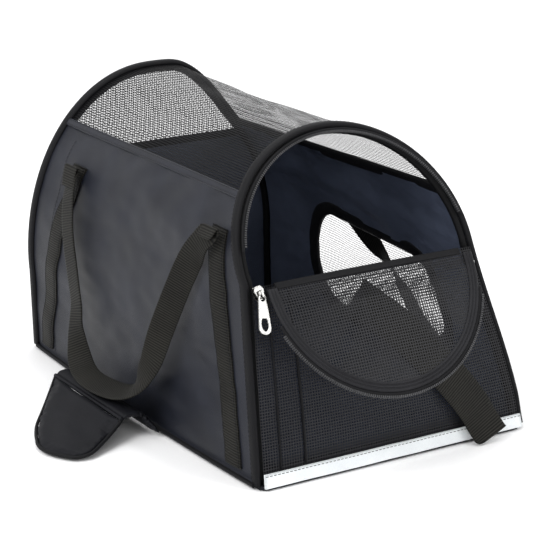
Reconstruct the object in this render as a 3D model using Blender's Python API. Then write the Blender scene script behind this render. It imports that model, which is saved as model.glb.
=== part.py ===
"""Soft pet carrier bag with a zipped, fold-down front flap.

The bag is a tunnel: two fabric sides and a mesh top run from a front arch to a rear arch, and each
arch is held open by a bent spring wire.  The front end is mesh below a fold line and an open arch
above it.  The flap that closes the arch hangs from the fold line.

Frame: metres, +Z up, front end at -Y, near side (the one with the grip cover) at -X, origin at the
middle of the base's underside.
"""
from math import asin, cos, pi, radians, sin

import bmesh
import bpy
from mathutils import Vector

# ---- driving dimensions ------------------------------------------------------------------------
BASE_LENGTH = 0.461
BASE_WIDTH = 0.290
SHEET = 0.003            # padded side fabric
MESH = 0.0012            # net panels
WEBBING = 0.0018
GAP = 0.0003             # air between sewn pieces

# front end: a lower panel that leans back a little, and an arch above the fold that leans more
FRONT_LEAN = radians(9.2)
FOLD_RISE = 0.184        # base to fold line, measured up the lower panel
ARCH_LEAN = radians(30.2)
ARCH_SWAY = -0.0175      # the soft arch leans towards the near side
CENTRE_RISE = 0.010      # fold line to the arch's centre
CHAIN_RADIUS = 0.1165    # middle of the zip chain
SHELL_RADIUS = 0.1226    # outside of the fabric round the arch
SETBACK = 0.004          # fabric edge behind the zip plane

# rear end
REAR_LEAN = radians(3.6)
REAR_LEG = 0.098
REAR_RISE = 0.1945
REAR_HALF = 0.1455
REAR_SWAY = -0.016
SIDE_BULGE = 0.006        # the most that a side swells outwards

# sides and top
NEAR_SEAM = 0.345        # share of the way round the arch, from the near base edge
FAR_SEAM = 0.690
BINDING_WIDTH = 0.010
BINDING_THICK = 0.0022
SEAM_TAPE = 0.013
ROUND_LENGTH = 0.74         # the shell's length round the arch, roughly
WIRE_RADIUS = 0.0018
WIRE_BACK = 0.006        # behind the fabric's edge

# zip
CHAIN_SLOT = 0.0016      # between the two rows of teeth
TOOTH_WIDE = 0.0020
TOOTH_THICK = 0.0024
TAPE_THICK = 0.0008
CHAIN_END = radians(11.5)
SLIDER_REST = radians(8.0)
SLIDER_LONG = 0.0125
SLIDER_WIDE = 0.0098
TAB_LONG = 0.036
TAB_WIDE = 0.0115
TAB_THICK = 0.0016

# flap
HINGE_FORWARD = 0.0042   # hinge line ahead of the zip plane
FLAP_HANG = radians(33.0)
FLAP_HALF = 0.1080       # half its width at the hinge
FLAP_BINDING = 0.0085

# webbing
STRAP_WIDE = 0.026
END_STRAP_WIDE = 0.036

V = Vector
HALF_L = BASE_LENGTH / 2
HALF_W = BASE_WIDTH / 2

# ---- frames of the two ends --------------------------------------------------------------------
LOWER_UP = V((0, sin(FRONT_LEAN), cos(FRONT_LEAN)))
LOWER_OUT = V((0, -cos(FRONT_LEAN), sin(FRONT_LEAN)))
ARCH_UP = V((0, sin(ARCH_LEAN), cos(ARCH_LEAN)))
ARCH_OUT = V((0, -cos(ARCH_LEAN), sin(ARCH_LEAN)))
ACROSS = V((1, 0, 0))
FOLD = V((ARCH_SWAY, -HALF_L, 0)) + FOLD_RISE * LOWER_UP
ARCH_CENTRE = FOLD + CENTRE_RISE * ARCH_UP
HINGE = FOLD + HINGE_FORWARD * ARCH_OUT
# the flap turns from hanging (open) to lying in the arch (closed)
CLOSE_TURN = pi + ARCH_LEAN - FLAP_HANG
REAR_UP = V((0, -sin(REAR_LEAN), cos(REAR_LEAN)))
REAR_OUT = V((0, cos(REAR_LEAN), sin(REAR_LEAN)))


def clear_scene():
    for old in list(bpy.data.objects):
        bpy.data.objects.remove(old, do_unlink=True)


def material(name, colour, rough, metal=0.0):
    made = bpy.data.materials.new(name)
    made.use_nodes = True
    shader = made.node_tree.nodes["Principled BSDF"]
    shader.inputs["Base Color"].default_value = (*colour, 1.0)
    shader.inputs["Roughness"].default_value = rough
    shader.inputs["Metallic"].default_value = metal
    return made


def add(name, bm, finish, origin=V((0, 0, 0)), parent=None):
    """Makes an object of a world-space mesh, with its origin at the point given."""
    bmesh.ops.recalc_face_normals(bm, faces=bm.faces)
    bmesh.ops.translate(bm, verts=bm.verts, vec=-origin)
    mesh = bpy.data.meshes.new(name)
    bm.to_mesh(mesh)
    bm.free()
    made = bpy.data.objects.new(name, mesh)
    bpy.context.scene.collection.objects.link(made)
    mesh.materials.append(finish)
    if parent is None:
        made.location = origin
    else:
        made.parent = parent
    return made


def empty(name, place, turn=0.0):
    made = bpy.data.objects.new(name, None)
    bpy.context.scene.collection.objects.link(made)
    made.location = place
    made.rotation_euler = (turn, 0, 0)
    return made


def slab(front_rows, back_rows):
    """A closed solid between two grids of points."""
    bm = bmesh.new()
    rows, cols = len(front_rows), len(front_rows[0])
    front = [[bm.verts.new(p) for p in row] for row in front_rows]
    back = [[bm.verts.new(p) for p in row] for row in back_rows]
    for i in range(rows - 1):
        for j in range(cols - 1):
            bm.faces.new((front[i][j], front[i][j + 1], front[i + 1][j + 1], front[i + 1][j]))
            bm.faces.new((back[i][j], back[i + 1][j], back[i + 1][j + 1], back[i][j + 1]))
    edge = [(i, 0) for i in range(rows)] + [(rows - 1, j) for j in range(1, cols)]
    edge += [(i, cols - 1) for i in range(rows - 2, -1, -1)] + [(0, j) for j in range(cols - 2, 0, -1)]
    for (i, j), (k, m) in zip(edge, edge[1:] + edge[:1]):
        bm.faces.new((front[i][j], back[i][j], back[k][m], front[k][m]))
    return bm


def sweep(rings):
    """A closed solid through a list of rings of points, capped at both ends."""
    bm = bmesh.new()
    made = [[bm.verts.new(p) for p in ring] for ring in rings]
    count = len(rings[0])
    for a, b in zip(made, made[1:]):
        for k in range(count):
            bm.faces.new((a[k], a[(k + 1) % count], b[(k + 1) % count], b[k]))
    bm.faces.new(list(reversed(made[0])))
    bm.faces.new(made[-1])
    return bm


def plate(outline, step):
    """A flat plate: an outline of points, and the vector through its thickness."""
    return sweep([outline, [p + step for p in outline]])


def lerp(a, b, t):
    return a + (b - a) * t


def spread(lo, hi, count):
    return [lerp(lo, hi, k / (count - 1)) for k in range(count)]


# ---- the shell ---------------------------------------------------------------------------------
def front_outline():
    """The shell's front edge, near base corner to far base corner."""
    drop = asin(CENTRE_RISE / SHELL_RADIUS)
    half = SHELL_RADIUS * cos(drop)
    legs = []
    for k in spread(0, 1, 13)[:-1]:
        legs.append((k, FOLD_RISE * k * LOWER_UP + V((0, -HALF_L, 0))))
    near = [p + V((lerp(-HALF_W, ARCH_SWAY - half, k), 0, 0)) for k, p in legs]
    far = [p + V((lerp(HALF_W, ARCH_SWAY + half, k), 0, 0)) for k, p in reversed(legs)]
    arc = []
    for turn in spread(pi + drop, -drop, 61):
        arc.append(ARCH_CENTRE + SHELL_RADIUS * (cos(turn) * ACROSS + sin(turn) * ARCH_UP))
    return [p + V((0, SETBACK, 0)) for p in near + arc + far]


def rear_outline():
    """The shell's rear edge, near base corner to far base corner."""
    top = REAR_LEG + REAR_RISE
    flat = [(-HALF_W, REAR_LEG * k) for k in spread(0, 1, 9)[:-1]]
    flat += [(REAR_HALF * cos(a), REAR_LEG + REAR_RISE * sin(a)) for a in spread(pi, 0, 61)]
    flat += [(HALF_W, REAR_LEG * k) for k in spread(1, 0, 9)[1:]]
    return [V((x + REAR_SWAY * s / top, HALF_L, 0)) + s * REAR_UP for x, s in flat]


def along(points, share):
    """The point at a share of a polyline's length."""
    steps = [(b - a).length for a, b in zip(points, points[1:])]
    left = share * sum(steps)
    for a, b, step in zip(points, points[1:], steps):
        if left <= step:
            return lerp(a, b, left / step)
        left -= step
    return points[-1].copy()


FRONT = front_outline()
REAR = rear_outline()
DELTA = 0.004


def side_bulge(t, v):
    """How far a side swells outwards, in X: most at the middle of its base, none at its seam."""
    down = 1 - t / NEAR_SEAM if t < NEAR_SEAM else (t - FAR_SEAM) / (1 - FAR_SEAM)
    amount = SIDE_BULGE * max(down, 0.0) * 4 * v * (1 - v)
    return -amount if t < 0.5 else amount


def shell(t, v):
    """A point of the shell: t goes round it from the near base edge, v from front to rear."""
    return lerp(along(FRONT, t), along(REAR, t), v) + V((side_bulge(t, v), 0, 0))


def run_share(t, length):
    """A length along the bag, as a share of the shell's own length at t."""
    return length / (along(REAR, t) - along(FRONT, t)).length


def shell_axes(t, v):
    """Unit vectors at a point of the shell: outwards, rearwards, and round the arch."""
    round_it = (shell(min(t + DELTA, 1), v) - shell(max(t - DELTA, 0), v)).normalized()
    back = (shell(t, min(v + DELTA, 1)) - shell(t, max(v - DELTA, 0))).normalized()
    out = round_it.cross(back).normalized()
    if out.dot(shell(t, v) - V((0, 0, 0.12))) < 0:
        out = -out
    return out, back, round_it


def skin(t0, t1, inset, count_t, count_v, lift, thick):
    """A curved panel of the shell, inset at both ends; its outside is lifted off the shell."""
    outer, inner = [], []
    for t in spread(t0, t1, count_t):
        outer.append([])
        inner.append([])
        end = run_share(t, inset)
        for v in spread(end, 1 - end, count_v):
            point = shell(t, v)
            out = shell_axes(t, v)[0]
            outer[-1].append(point + out * lift)
            inner[-1].append(point + out * (lift - thick))
    return slab(outer, inner)


def base_share(height):
    """How far up the arch, as a share, the shell reaches the height given."""
    low, high = 0.0, 0.3
    for _ in range(40):
        mid = (low + high) / 2
        if shell(mid, 0.5).z < height:
            low = mid
        else:
            high = mid
    return low


# ---- soft shell pieces -------------------------------------------------------------------------
FLOOR_THICK = 0.003
FOOT = base_share(FLOOR_THICK + 0.0015)
EDGE = BINDING_WIDTH + 5 * GAP
SEAM_GAP = 0.0006


def base_bulge(y):
    share = (y + HALF_L) / BASE_LENGTH
    return SIDE_BULGE * 4 * share * (1 - share)


def corner_rectangle(half_x, half_y, radius, height, steps=5):
    """A rectangle with round corners, as points at one height."""
    out = []
    for sx, sy, start in ((1, 1, 0), (-1, 1, pi / 2), (-1, -1, pi), (1, -1, 3 * pi / 2)):
        for turn in spread(start, start + pi / 2, steps):
            out.append(V((sx * (half_x - radius) + radius * cos(turn),
                          sy * (half_y - radius) + radius * sin(turn), height)))
    return out


def base_rows(height, corner=0.006):
    """Rows of points over the base, whose long sides bow out and whose corners are eased."""
    rows = []
    ends = [HALF_L, HALF_L - 0.3 * corner, HALF_L - corner]
    places = [-y for y in ends] + spread(-HALF_L, HALF_L, 13)[1:-1] + ends[::-1]
    for y in places:
        cut = corner * max(0.0, 1 - (HALF_L - abs(y)) / corner) ** 2
        half = HALF_W + base_bulge(y) - cut
        rows.append([V((x * half, y, height)) for x in spread(-1, 1, 5)])
    return rows


def build_base(fabric, board, fleece):
    add("bottom_panel", slab(base_rows(0), base_rows(FLOOR_THICK)), fabric)
    inset = 0.012
    rest = FLOOR_THICK + GAP
    board_thick = 0.003
    mat_thick = 0.010
    outline = corner_rectangle(HALF_W - inset, HALF_L - 2 * inset, 0.018, rest)
    add("base_board", plate(outline, V((0, 0, board_thick))), board)
    outline = corner_rectangle(HALF_W - inset, HALF_L - 2 * inset, 0.018, rest + board_thick + GAP)
    add("base_mat", plate(outline, V((0, 0, mat_thick))), fleece)


def window_outline(grow, x):
    """The far window as seen from the side: a long arched opening."""
    half, low, high, crown, radius = 0.122 + grow, 0.034 - grow, 0.136 + grow, 0.010, 0.045
    out = []
    corners = ((1, -1, 3 * pi / 2), (1, 1, 0), (-1, 1, pi / 2), (-1, -1, pi))
    middle = (low + high) / 2
    for sy, sz, start in corners:
        for turn in spread(start, start + pi / 2, 6):
            y = sy * (half - radius) + radius * cos(turn)
            z = middle + sz * ((high - low) / 2 - radius) + radius * sin(turn)
            if sz > 0:
                z += crown * (1 - (y / half) ** 2)
            out.append(V((x, y, z)))
    return out


def cutter(name, grow):
    """A prism through the far side along X."""
    start = 0.06
    bm = plate(window_outline(grow, start), V((0.16, 0, 0)))
    made = add(name, bm, bpy.data.materials["net"])
    made.hide_render = True
    made.display_type = "WIRE"
    return made


def boolean(target, tool, operation):
    cut = target.modifiers.new(operation.lower(), "BOOLEAN")
    cut.operation = operation
    cut.object = tool
    cut.solver = "EXACT"


def build_shell(fabric, net, tape):
    near = skin(FOOT, NEAR_SEAM - SEAM_GAP, EDGE, 19, 7, 0, SHEET)
    add("near_side_panel", near, fabric)
    far = skin(FAR_SEAM + SEAM_GAP, 1 - FOOT, EDGE, 19, 7, 0, SHEET)
    far = add("far_side_panel", far, fabric)
    top = skin(NEAR_SEAM + SEAM_GAP, FAR_SEAM - SEAM_GAP, EDGE, 15, 7, 0, MESH)
    add("top_mesh_panel", top, net)
    hole = cutter("window_hole", 0.0)
    boolean(far, hole, "DIFFERENCE")
    window = skin(FAR_SEAM + 0.02, 1 - FOOT, 2 * EDGE, 17, 7, -0.0010, MESH)
    window = add("far_window_mesh", window, net)
    boolean(window, cutter("window_net", -0.0006), "INTERSECT")
    rim = skin(FAR_SEAM + 0.02, 1 - FOOT, 2 * EDGE, 17, 7, 0.0015, 0.0012)
    rim = add("far_window_binding", rim, tape)
    boolean(rim, cutter("window_rim_out", 0.008), "INTERSECT")
    boolean(rim, cutter("window_rim_in", -0.003), "DIFFERENCE")
    for name, seam in (("near_seam_tape", NEAR_SEAM), ("far_seam_tape", FAR_SEAM)):
        half = SEAM_TAPE / 2 / ROUND_LENGTH
        made = skin(seam - half, seam + half, EDGE, 3, 9, GAP + 0.0012, 0.0012)
        add(name, made, tape)


def edge_band(side, t0, t1, count):
    """A binding round one end of the shell."""
    rings = []
    for t in spread(t0, t1, count):
        v = 0.0 if side == "front" else 1.0
        point = shell(t, v)
        out, back, _ = shell_axes(t, v)
        if side == "rear":
            back = -back
        low, high = -0.0024, 0.0012
        width = BINDING_WIDTH
        rings.append([point + out * low, point + out * high,
                      point + out * high + back * width, point + out * low + back * width])
    return sweep(rings)


def wire_path(side):
    """The spring wire, inside the shell and just behind its binding."""
    path = []
    for t in spread(FOOT + 0.006, 1 - FOOT - 0.006, 61):
        share = run_share(t, WIRE_BACK)
        v = share if side == "front" else 1 - share
        out = shell_axes(t, v)[0]
        path.append(shell(t, v) - out * (0.0030 + WIRE_RADIUS + 0.0006))
    return path


def tube(path, radius, sides=6):
    rings = []
    for k, point in enumerate(path):
        run = (path[min(k + 1, len(path) - 1)] - path[max(k - 1, 0)]).normalized()
        side = run.cross(V((0, 1, 0))).normalized()
        other = run.cross(side)
        ring = []
        for turn in spread(0, 2 * pi, sides + 1)[:-1]:
            ring.append(point + radius * (cos(turn) * side + sin(turn) * other))
        rings.append(ring)
    return sweep(rings)


def build_arches(tape, wire):
    for side in ("front", "rear"):
        add(f"{side}_arch_binding", edge_band(side, FOOT, 1 - FOOT, 65), tape)
        add(f"{side}_frame_wire", tube(wire_path(side), WIRE_RADIUS), wire)


# ---- the two ends ------------------------------------------------------------------------------
STRIP_HIGH = 0.014
REAR_INSET = 0.0012      # the rear net lies this far inside the arch's edge


def build_front(net, strip, tape):
    low = FLOOR_THICK + 2 * GAP
    inset = 0.0050
    top_half = SHELL_RADIUS - 0.006
    base = V((0, -HALF_L + SETBACK, 0))
    outline = [base + V((-HALF_W + inset, 0, 0)) + low * LOWER_UP,
               base + V((HALF_W - inset, 0, 0)) + low * LOWER_UP,
               base + V((ARCH_SWAY + top_half, 0, 0)) + (FOLD_RISE - 0.0075) * LOWER_UP,
               base + V((ARCH_SWAY - top_half, 0, 0)) + (FOLD_RISE - 0.0075) * LOWER_UP]
    add("front_lower_mesh", plate(outline, -MESH * LOWER_OUT), net)
    lift = GAP * LOWER_OUT
    outline = [base + V((x, 0, 0)) + s * LOWER_UP + lift
               for x, s in ((-HALF_W + inset, low), (HALF_W - inset, low),
                            (HALF_W - inset - 0.0015, STRIP_HIGH), (-HALF_W + inset + 0.0015, STRIP_HIGH))]
    add("front_bottom_strip", plate(outline, 0.0012 * LOWER_OUT), strip)
    # the tape along the fold, which the flap hangs from
    outline = [base + V((ARCH_SWAY + x, 0, 0)) + s * LOWER_UP
               for x, s in ((-FLAP_HALF, FOLD_RISE - 0.006), (FLAP_HALF, FOLD_RISE - 0.006),
                            (FLAP_HALF, FOLD_RISE + 0.004), (-FLAP_HALF, FOLD_RISE + 0.004))]
    add("flap_hinge_tape", plate(outline, -0.0016 * LOWER_OUT), tape)


def build_rear(net, strip):
    shrink = 0.0046
    base = V((0, HALF_L, 0))
    count = 41
    outline = []
    for t in spread(FOOT + 0.004, 1 - FOOT - 0.004, count):
        out = shell_axes(t, 1.0)[0]
        outline.append(along(REAR, t) - shrink * V((out.x, 0, out.z)) + V((0, -REAR_INSET, 0)))
    add("rear_mesh_panel", plate(outline, V((0, -MESH, 0))), net)
    low = FLOOR_THICK + 2 * GAP
    outline = [base + V((x, GAP - REAR_INSET, 0)) + s * REAR_UP
               for x, s in ((-HALF_W + 0.005, low), (HALF_W - 0.005, low),
                            (HALF_W - 0.006, STRIP_HIGH), (-HALF_W + 0.004, STRIP_HIGH))]
    add("rear_bottom_strip", plate(outline, 0.0012 * REAR_OUT), strip)


# ---- zip ---------------------------------------------------------------------------------------
def arch_point(radius, turn, out=0.0):
    return ARCH_CENTRE + radius * (cos(turn) * ACROSS + sin(turn) * ARCH_UP) + out * ARCH_OUT


def arc_band(r0, r1, a0, a1, d0, d1, count):
    """A flat ring sector in the arch's plane, between two radii and two depths."""
    rings = []
    for turn in spread(a0, a1, count):
        rings.append([arch_point(r0, turn, d0), arch_point(r1, turn, d0),
                      arch_point(r1, turn, d1), arch_point(r0, turn, d1)])
    return sweep(rings)


BAG_TEETH_IN = CHAIN_RADIUS + CHAIN_SLOT / 2
BAG_TEETH_OUT = BAG_TEETH_IN + TOOTH_WIDE
FLAP_TEETH_OUT = CHAIN_RADIUS - CHAIN_SLOT / 2
FLAP_TEETH_IN = FLAP_TEETH_OUT - TOOTH_WIDE
CHAIN_FROM = pi + CHAIN_END
CHAIN_TO = -CHAIN_END


def build_bag_zip(tape, coil, metal):
    half = TOOTH_THICK / 2
    add("bag_zip_teeth", arc_band(BAG_TEETH_IN, BAG_TEETH_OUT, CHAIN_FROM, CHAIN_TO, -half, half, 61), coil)
    inner = BAG_TEETH_OUT + GAP
    outer = SHELL_RADIUS
    flange = outer - 0.0008
    rings = []
    for turn in spread(CHAIN_FROM, CHAIN_TO, 61):
        flat = TAPE_THICK / 2
        rings.append([arch_point(r, turn, d) for r, d in (
            (inner, flat), (outer, flat), (outer, -SETBACK + 0.0012),
            (flange, -SETBACK + 0.0012), (flange, -flat), (inner, -flat))])
    add("bag_zip_tape", sweep(rings), tape)
    for name, turn, side in (("near_zip_stop", CHAIN_FROM, 1), ("far_zip_stop", CHAIN_TO, -1)):
        band = arc_band(FLAP_TEETH_IN, BAG_TEETH_OUT, turn + side * 0.0035, turn + side * 0.030,
                        -half, half, 2)
        add(name, band, metal)


def slider_point(turn, r, s, d):
    """A point of the slider: r outwards, s up the chain from the near end, d off the arch's plane."""
    radial = cos(turn) * ACROSS + sin(turn) * ARCH_UP
    tangent = sin(turn) * ACROSS - cos(turn) * ARCH_UP
    return ARCH_CENTRE + (CHAIN_RADIUS + r) * radial + s * tangent + d * ARCH_OUT


WING_CLEAR = TOOTH_THICK / 2 + 0.0005
WING = 0.0012
BRIDGE_TOP = 0.0042      # above the front wing
BAR = 0.0010


def build_slider(metal):
    """Two wings, joined by a neck between the rows of teeth, and a bridge that holds the pull."""
    turn = pi + SLIDER_REST
    half_l, half_w = SLIDER_LONG / 2, SLIDER_WIDE / 2
    front = WING_CLEAR + WING

    def block(outline, deep, thick):
        return plate([slider_point(turn, r, s, deep) for r, s in outline], thick * ARCH_OUT)

    wing = ((-half_w, half_l * 0.45), (-half_w * 0.55, half_l), (half_w * 0.55, half_l),
            (half_w, half_l * 0.45), (half_w * 0.62, -half_l), (-half_w * 0.62, -half_l))
    neck_half = CHAIN_SLOT / 2 - GAP
    neck = [(r, s * half_l) for r, s in ((-neck_half, 0.2), (neck_half, 0.2),
                                         (neck_half, 0.7), (-neck_half, 0.7))]
    low, high, top = -0.0056, 0.0020, BRIDGE_TOP
    side = ((low, -0.0004), (low, top - BAR), (low + BAR, top), (high - BAR, top), (high, top - BAR),
            (high, -0.0004), (high - BAR, -0.0004), (high - BAR, top - BAR), (low + BAR, top - BAR),
            (low + BAR, -0.0004))
    bridge = plate([slider_point(turn, -BAR, s, front + d) for s, d in side],
                   2 * BAR * (cos(turn) * ACROSS + sin(turn) * ARCH_UP))
    body = add("slider_body", block(wing, WING_CLEAR, WING), metal, ARCH_CENTRE)
    parts = (("back_wing", block(wing, -front, WING)),
             ("neck", block(neck, -front + WING / 2, 2 * front - WING)),
             ("bridge", bridge))
    for name, bm in reversed(parts):
        tool = add(name, bm, metal, ARCH_CENTRE)
        tool.hide_render = True
        tool.display_type = "WIRE"
        boolean(body, tool, "UNION")


TAB_LEVEL = WING_CLEAR + WING + 0.0016
PULL_S = -0.0027         # the pull's own bar, under the bridge
# the pull hangs a little towards the near side, and leans in at its foot
PULL_ASIDE = radians(9.0)
PULL_IN = radians(4.0)
PULL_DOWN = (-cos(PULL_IN) * (cos(PULL_ASIDE) * ARCH_UP + sin(PULL_ASIDE) * ACROSS) - sin(PULL_IN) * ARCH_OUT)
PULL_ACROSS = cos(PULL_ASIDE) * ACROSS - sin(PULL_ASIDE) * ARCH_UP
PULL_OUT = PULL_DOWN.cross(PULL_ACROSS)


def pull_place():
    return slider_point(pi + SLIDER_REST, 0, PULL_S, TAB_LEVEL)


def pull_plate(outline, thick):
    """A plate in the pull's own plane, from points across it and along it."""
    place = pull_place() - thick / 2 * PULL_OUT
    return plate([place + r * PULL_ACROSS - s * PULL_DOWN for r, s in outline], thick * PULL_OUT)


def tab_hole(name, middle, half_r, half_s, flat, finish):
    """A cutter for one hole of the pull: round, or cut off straight at its top."""
    outline = []
    for angle in spread(0, 2 * pi, 17)[:-1]:
        outline.append((half_r * cos(angle), middle + half_s * min(sin(angle), flat)))
    tool = add(name, pull_plate(outline, 2 * TAB_THICK), finish, pull_place())
    tool.hide_render = True
    tool.display_type = "WIRE"
    return tool


def build_pull(metal):
    """The slider's pull: a rounded tab with a small hole for the bridge and a long one below."""
    half = TAB_WIDE / 2
    top = 0.0007
    bottom = top - TAB_LONG
    outline = []
    for angle in spread(0, pi, 9):
        outline.append((half * 0.66 * cos(angle), top - 0.0035 + 0.0035 * sin(angle)))
    for angle in spread(pi, 2 * pi, 11):
        outline.append((half * cos(angle), bottom + half + half * sin(angle)))
    tab = add("pull_tab", pull_plate(outline, TAB_THICK), metal, pull_place())
    boolean(tab, tab_hole("pull_eye", top - 0.0040, 0.0026, 0.0026, 1.0, metal), "DIFFERENCE")
    boolean(tab, tab_hole("pull_slot", bottom + 0.0095, 0.0036, 0.0068, 0.75, metal), "DIFFERENCE")


# ---- flap, built closed and then hung open -------------------------------------------------------
RING_FROM = radians(16.0)   # the flap's teeth start clear of the pull


def build_flap(net, tape, coil):
    hinge = empty("flap_hinge", HINGE, CLOSE_TURN)

    def hang(name, bm, finish):
        add(name, bm, finish, HINGE, hinge)

    start, end = pi - RING_FROM, RING_FROM
    half = TOOTH_THICK / 2
    hang("flap_zip_teeth", arc_band(FLAP_TEETH_IN, FLAP_TEETH_OUT, start, end, -half, half, 49), coil)
    tape_out = FLAP_TEETH_IN - GAP
    tape_in = tape_out - 0.0034
    hang("flap_zip_tape", arc_band(tape_in, tape_out, start, end, -TAPE_THICK / 2, TAPE_THICK / 2, 49), tape)
    out = tape_in - GAP
    inn = out - FLAP_BINDING
    thick = 0.0014
    foot = 0.004

    def flap_point(x, rise, depth):
        return FOLD + x * ACROSS + rise * ARCH_UP + depth * ARCH_OUT

    def leg(side):
        outer, inner = side * FLAP_HALF, side * (FLAP_HALF - FLAP_BINDING)
        return [flap_point(inner, foot, -thick), flap_point(outer, foot, -thick),
                flap_point(outer, foot, thick), flap_point(inner, foot, thick)]

    rings = [leg(-1)]
    for turn in spread(start, end, 45):
        rings.append([arch_point(inn, turn, -thick), arch_point(out, turn, -thick),
                      arch_point(out, turn, thick), arch_point(inn, turn, thick)])
    rings.append(leg(1))
    hang("flap_edge_binding", sweep(rings), tape)
    edge = inn - GAP
    outline = [arch_point(edge, turn, -MESH / 2) for turn in spread(start, end, 41)]
    narrow = FLAP_HALF - FLAP_BINDING - 2 * GAP
    outline = [flap_point(-narrow, foot, -MESH / 2)] + outline + [flap_point(narrow, foot, -MESH / 2)]
    hang("flap_mesh", plate(outline, MESH * ARCH_OUT), net)


# ---- webbing -------------------------------------------------------------------------------------
STRAP_LIFT = 2 * GAP
STRAP_STEPS = 15
FAR_DROP = 0.016         # the far straps end lower, under that side's lower seam
# where each strap lies at its foot and its top, in Y, and how high its handle is sewn to it
STRAPS = {"front": (-0.186, -0.142, 0.222), "rear": (0.198, 0.138, 0.214)}


def strap_on_side(side, foot_y, top_y, sewn_at):
    """Webbing stitched flat on a side, from the base seam up to the handle."""
    outer, inner = [], []
    high = 0.5
    low = base_share(0.0070)
    while shell(high, 0.5).z > sewn_at + 0.004:
        high -= 0.002
    if side == "far":
        low, high = 1 - low, 0.5
        while shell(high, 0.5).z > sewn_at - FAR_DROP + 0.004:
            high += 0.002
    for k, t in enumerate(spread(low, high, STRAP_STEPS)):
        middle = lerp(foot_y, top_y, k / (STRAP_STEPS - 1))
        outer.append([])
        inner.append([])
        for y in (middle - STRAP_WIDE / 2, middle + STRAP_WIDE / 2):
            a, b = along(FRONT, t), along(REAR, t)
            v = (y - a.y) / (b.y - a.y)
            out = shell_axes(t, v)[0]
            outer[-1].append(shell(t, v) + out * (STRAP_LIFT + WEBBING))
            inner[-1].append(shell(t, v) + out * STRAP_LIFT)
    return slab(outer, inner)


def smooth(points, per_span=4):
    """A smooth curve through the points."""
    ends = [2 * points[0] - points[1]] + points + [2 * points[-1] - points[-2]]
    out = []
    for a, b, c, d in zip(ends, ends[1:], ends[2:], ends[3:]):
        for k in range(per_span):
            t = k / per_span
            out.append(0.5 * (2 * b + (c - a) * t + (2 * a - 5 * b + 4 * c - d) * t * t
                              + (3 * b - a - 3 * c + d) * t ** 3))
    return out + [points[-1].copy()]


def ribbon(points, faces, width, thick, end_side=None):
    """Webbing along a route; faces are the directions that its flat side looks in."""
    route, looks = smooth(points), smooth(faces)
    last = len(route) - 1
    rings = []
    for k, (point, look) in enumerate(zip(route, looks)):
        run = (route[min(k + 1, last)] - route[max(k - 1, 0)]).normalized()
        side = look.cross(run).normalized()
        if end_side and k in (0, last):
            side = end_side * (1 if side.dot(end_side) > 0 else -1)
        up = look.cross(side).cross(side).normalized()
        up = up if up.dot(look) > 0 else -up
        a, b = side * width / 2, up * thick / 2
        rings.append([point - a - b, point + a - b, point + a + b, point - a + b])
    return sweep(rings)


NEAR_ENDS = (V((-0.1436, -0.142, 0.2200)), V((-0.1405, 0.138, 0.2120)))
FAR_ENDS = (V((0.1140, -0.142, 0.2040)), V((0.1206, 0.138, 0.1970)))
NEAR_ROUTE = (
    (-0.1500, -0.133, 0.209), (-0.1545, -0.1195, 0.1865), (-0.159, -0.104, 0.1565),
    (-0.165, -0.084, 0.1125), (-0.1715, -0.069, 0.073),
    (-0.179, -0.044, 0.042), (-0.184, 0.004, 0.034), (-0.181, 0.048, 0.037),
    (-0.175, 0.073, 0.064), (-0.169, 0.083, 0.092), (-0.164, 0.100, 0.122),
    (-0.160, 0.115, 0.155), (-0.1530, 0.126, 0.188))
FAR_ROUTE = (
    (0.1200, -0.136, 0.191), (0.1290, -0.126, 0.166), (0.140, -0.116, 0.126),
    (0.150, -0.110, 0.086), (0.158, -0.102, 0.052),
    (0.164, -0.074, 0.034), (0.166, -0.036, 0.046), (0.163, -0.008, 0.074),
    (0.158, 0.0165, 0.101), (0.154, 0.038, 0.116), (0.149, 0.062, 0.134),
    (0.143, 0.090, 0.158), (0.133, 0.114, 0.178))


def handle(ends, route, sign):
    """A loop of webbing from one end to the other; sign is 1 on the near side, -1 on the far."""
    points = [ends[0]] + [V(p) for p in route] + [ends[1]]
    outward = V((-sign, 0, 0))
    front_leg = V((-0.8 * sign, -0.6, 0))
    grip = V((-0.35 * sign, -0.15, 0.9))
    faces = [outward] * 2 + [front_leg] * 3 + [V((-0.7 * sign, -0.4, 0.5))]
    faces += [grip] * 3 + [V((-0.8 * sign, 0, 0.5))] + [outward] * 5
    axis = (ends[1] - ends[0]).normalized()
    return ribbon(points, faces, STRAP_WIDE - 0.001, WEBBING, axis)


def build_webbing(webbing):
    for side in ("near", "far"):
        for end, places in STRAPS.items():
            add(f"{side}_{end}_strap", strap_on_side(side, *places), webbing)
    add("near_handle", handle(NEAR_ENDS, NEAR_ROUTE, 1), webbing, NEAR_ENDS[0])
    add("far_handle", handle(FAR_ENDS, FAR_ROUTE, -1), webbing, FAR_ENDS[0])
    base = V((0, -HALF_L + SETBACK, 0))
    route = [base + V((x, 0, 0)) + s * LOWER_UP + off * LOWER_OUT
             for x, s, off in ((-0.030, 0.158, 0.0022), (0.015, 0.118, 0.0080), (0.058, 0.070, 0.0120),
                               (0.088, 0.037, 0.0100), (0.104, 0.0190, 0.0050))]
    looks = [LOWER_OUT] * 5
    add("front_end_strap", ribbon(route, looks, END_STRAP_WIDE, WEBBING), webbing)


# ---- grip cover on the near handle ---------------------------------------------------------------
PAD = 0.0035
CORE_LEFT, CORE_RIGHT = -0.1945, -0.1735
CORE_HIGH = 0.0200        # its underside
CORE_TOP = CORE_HIGH + PAD   # the wings hinge on its top edges
CORE_FRONT, CORE_BACK = -0.058, 0.082


def wing_grid(rows, thick_up):
    """A padded wing from rows of points along it; its thickness goes up."""
    lifted = [[p + thick_up for p in row] for row in rows]
    return slab(lifted, rows)


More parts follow.
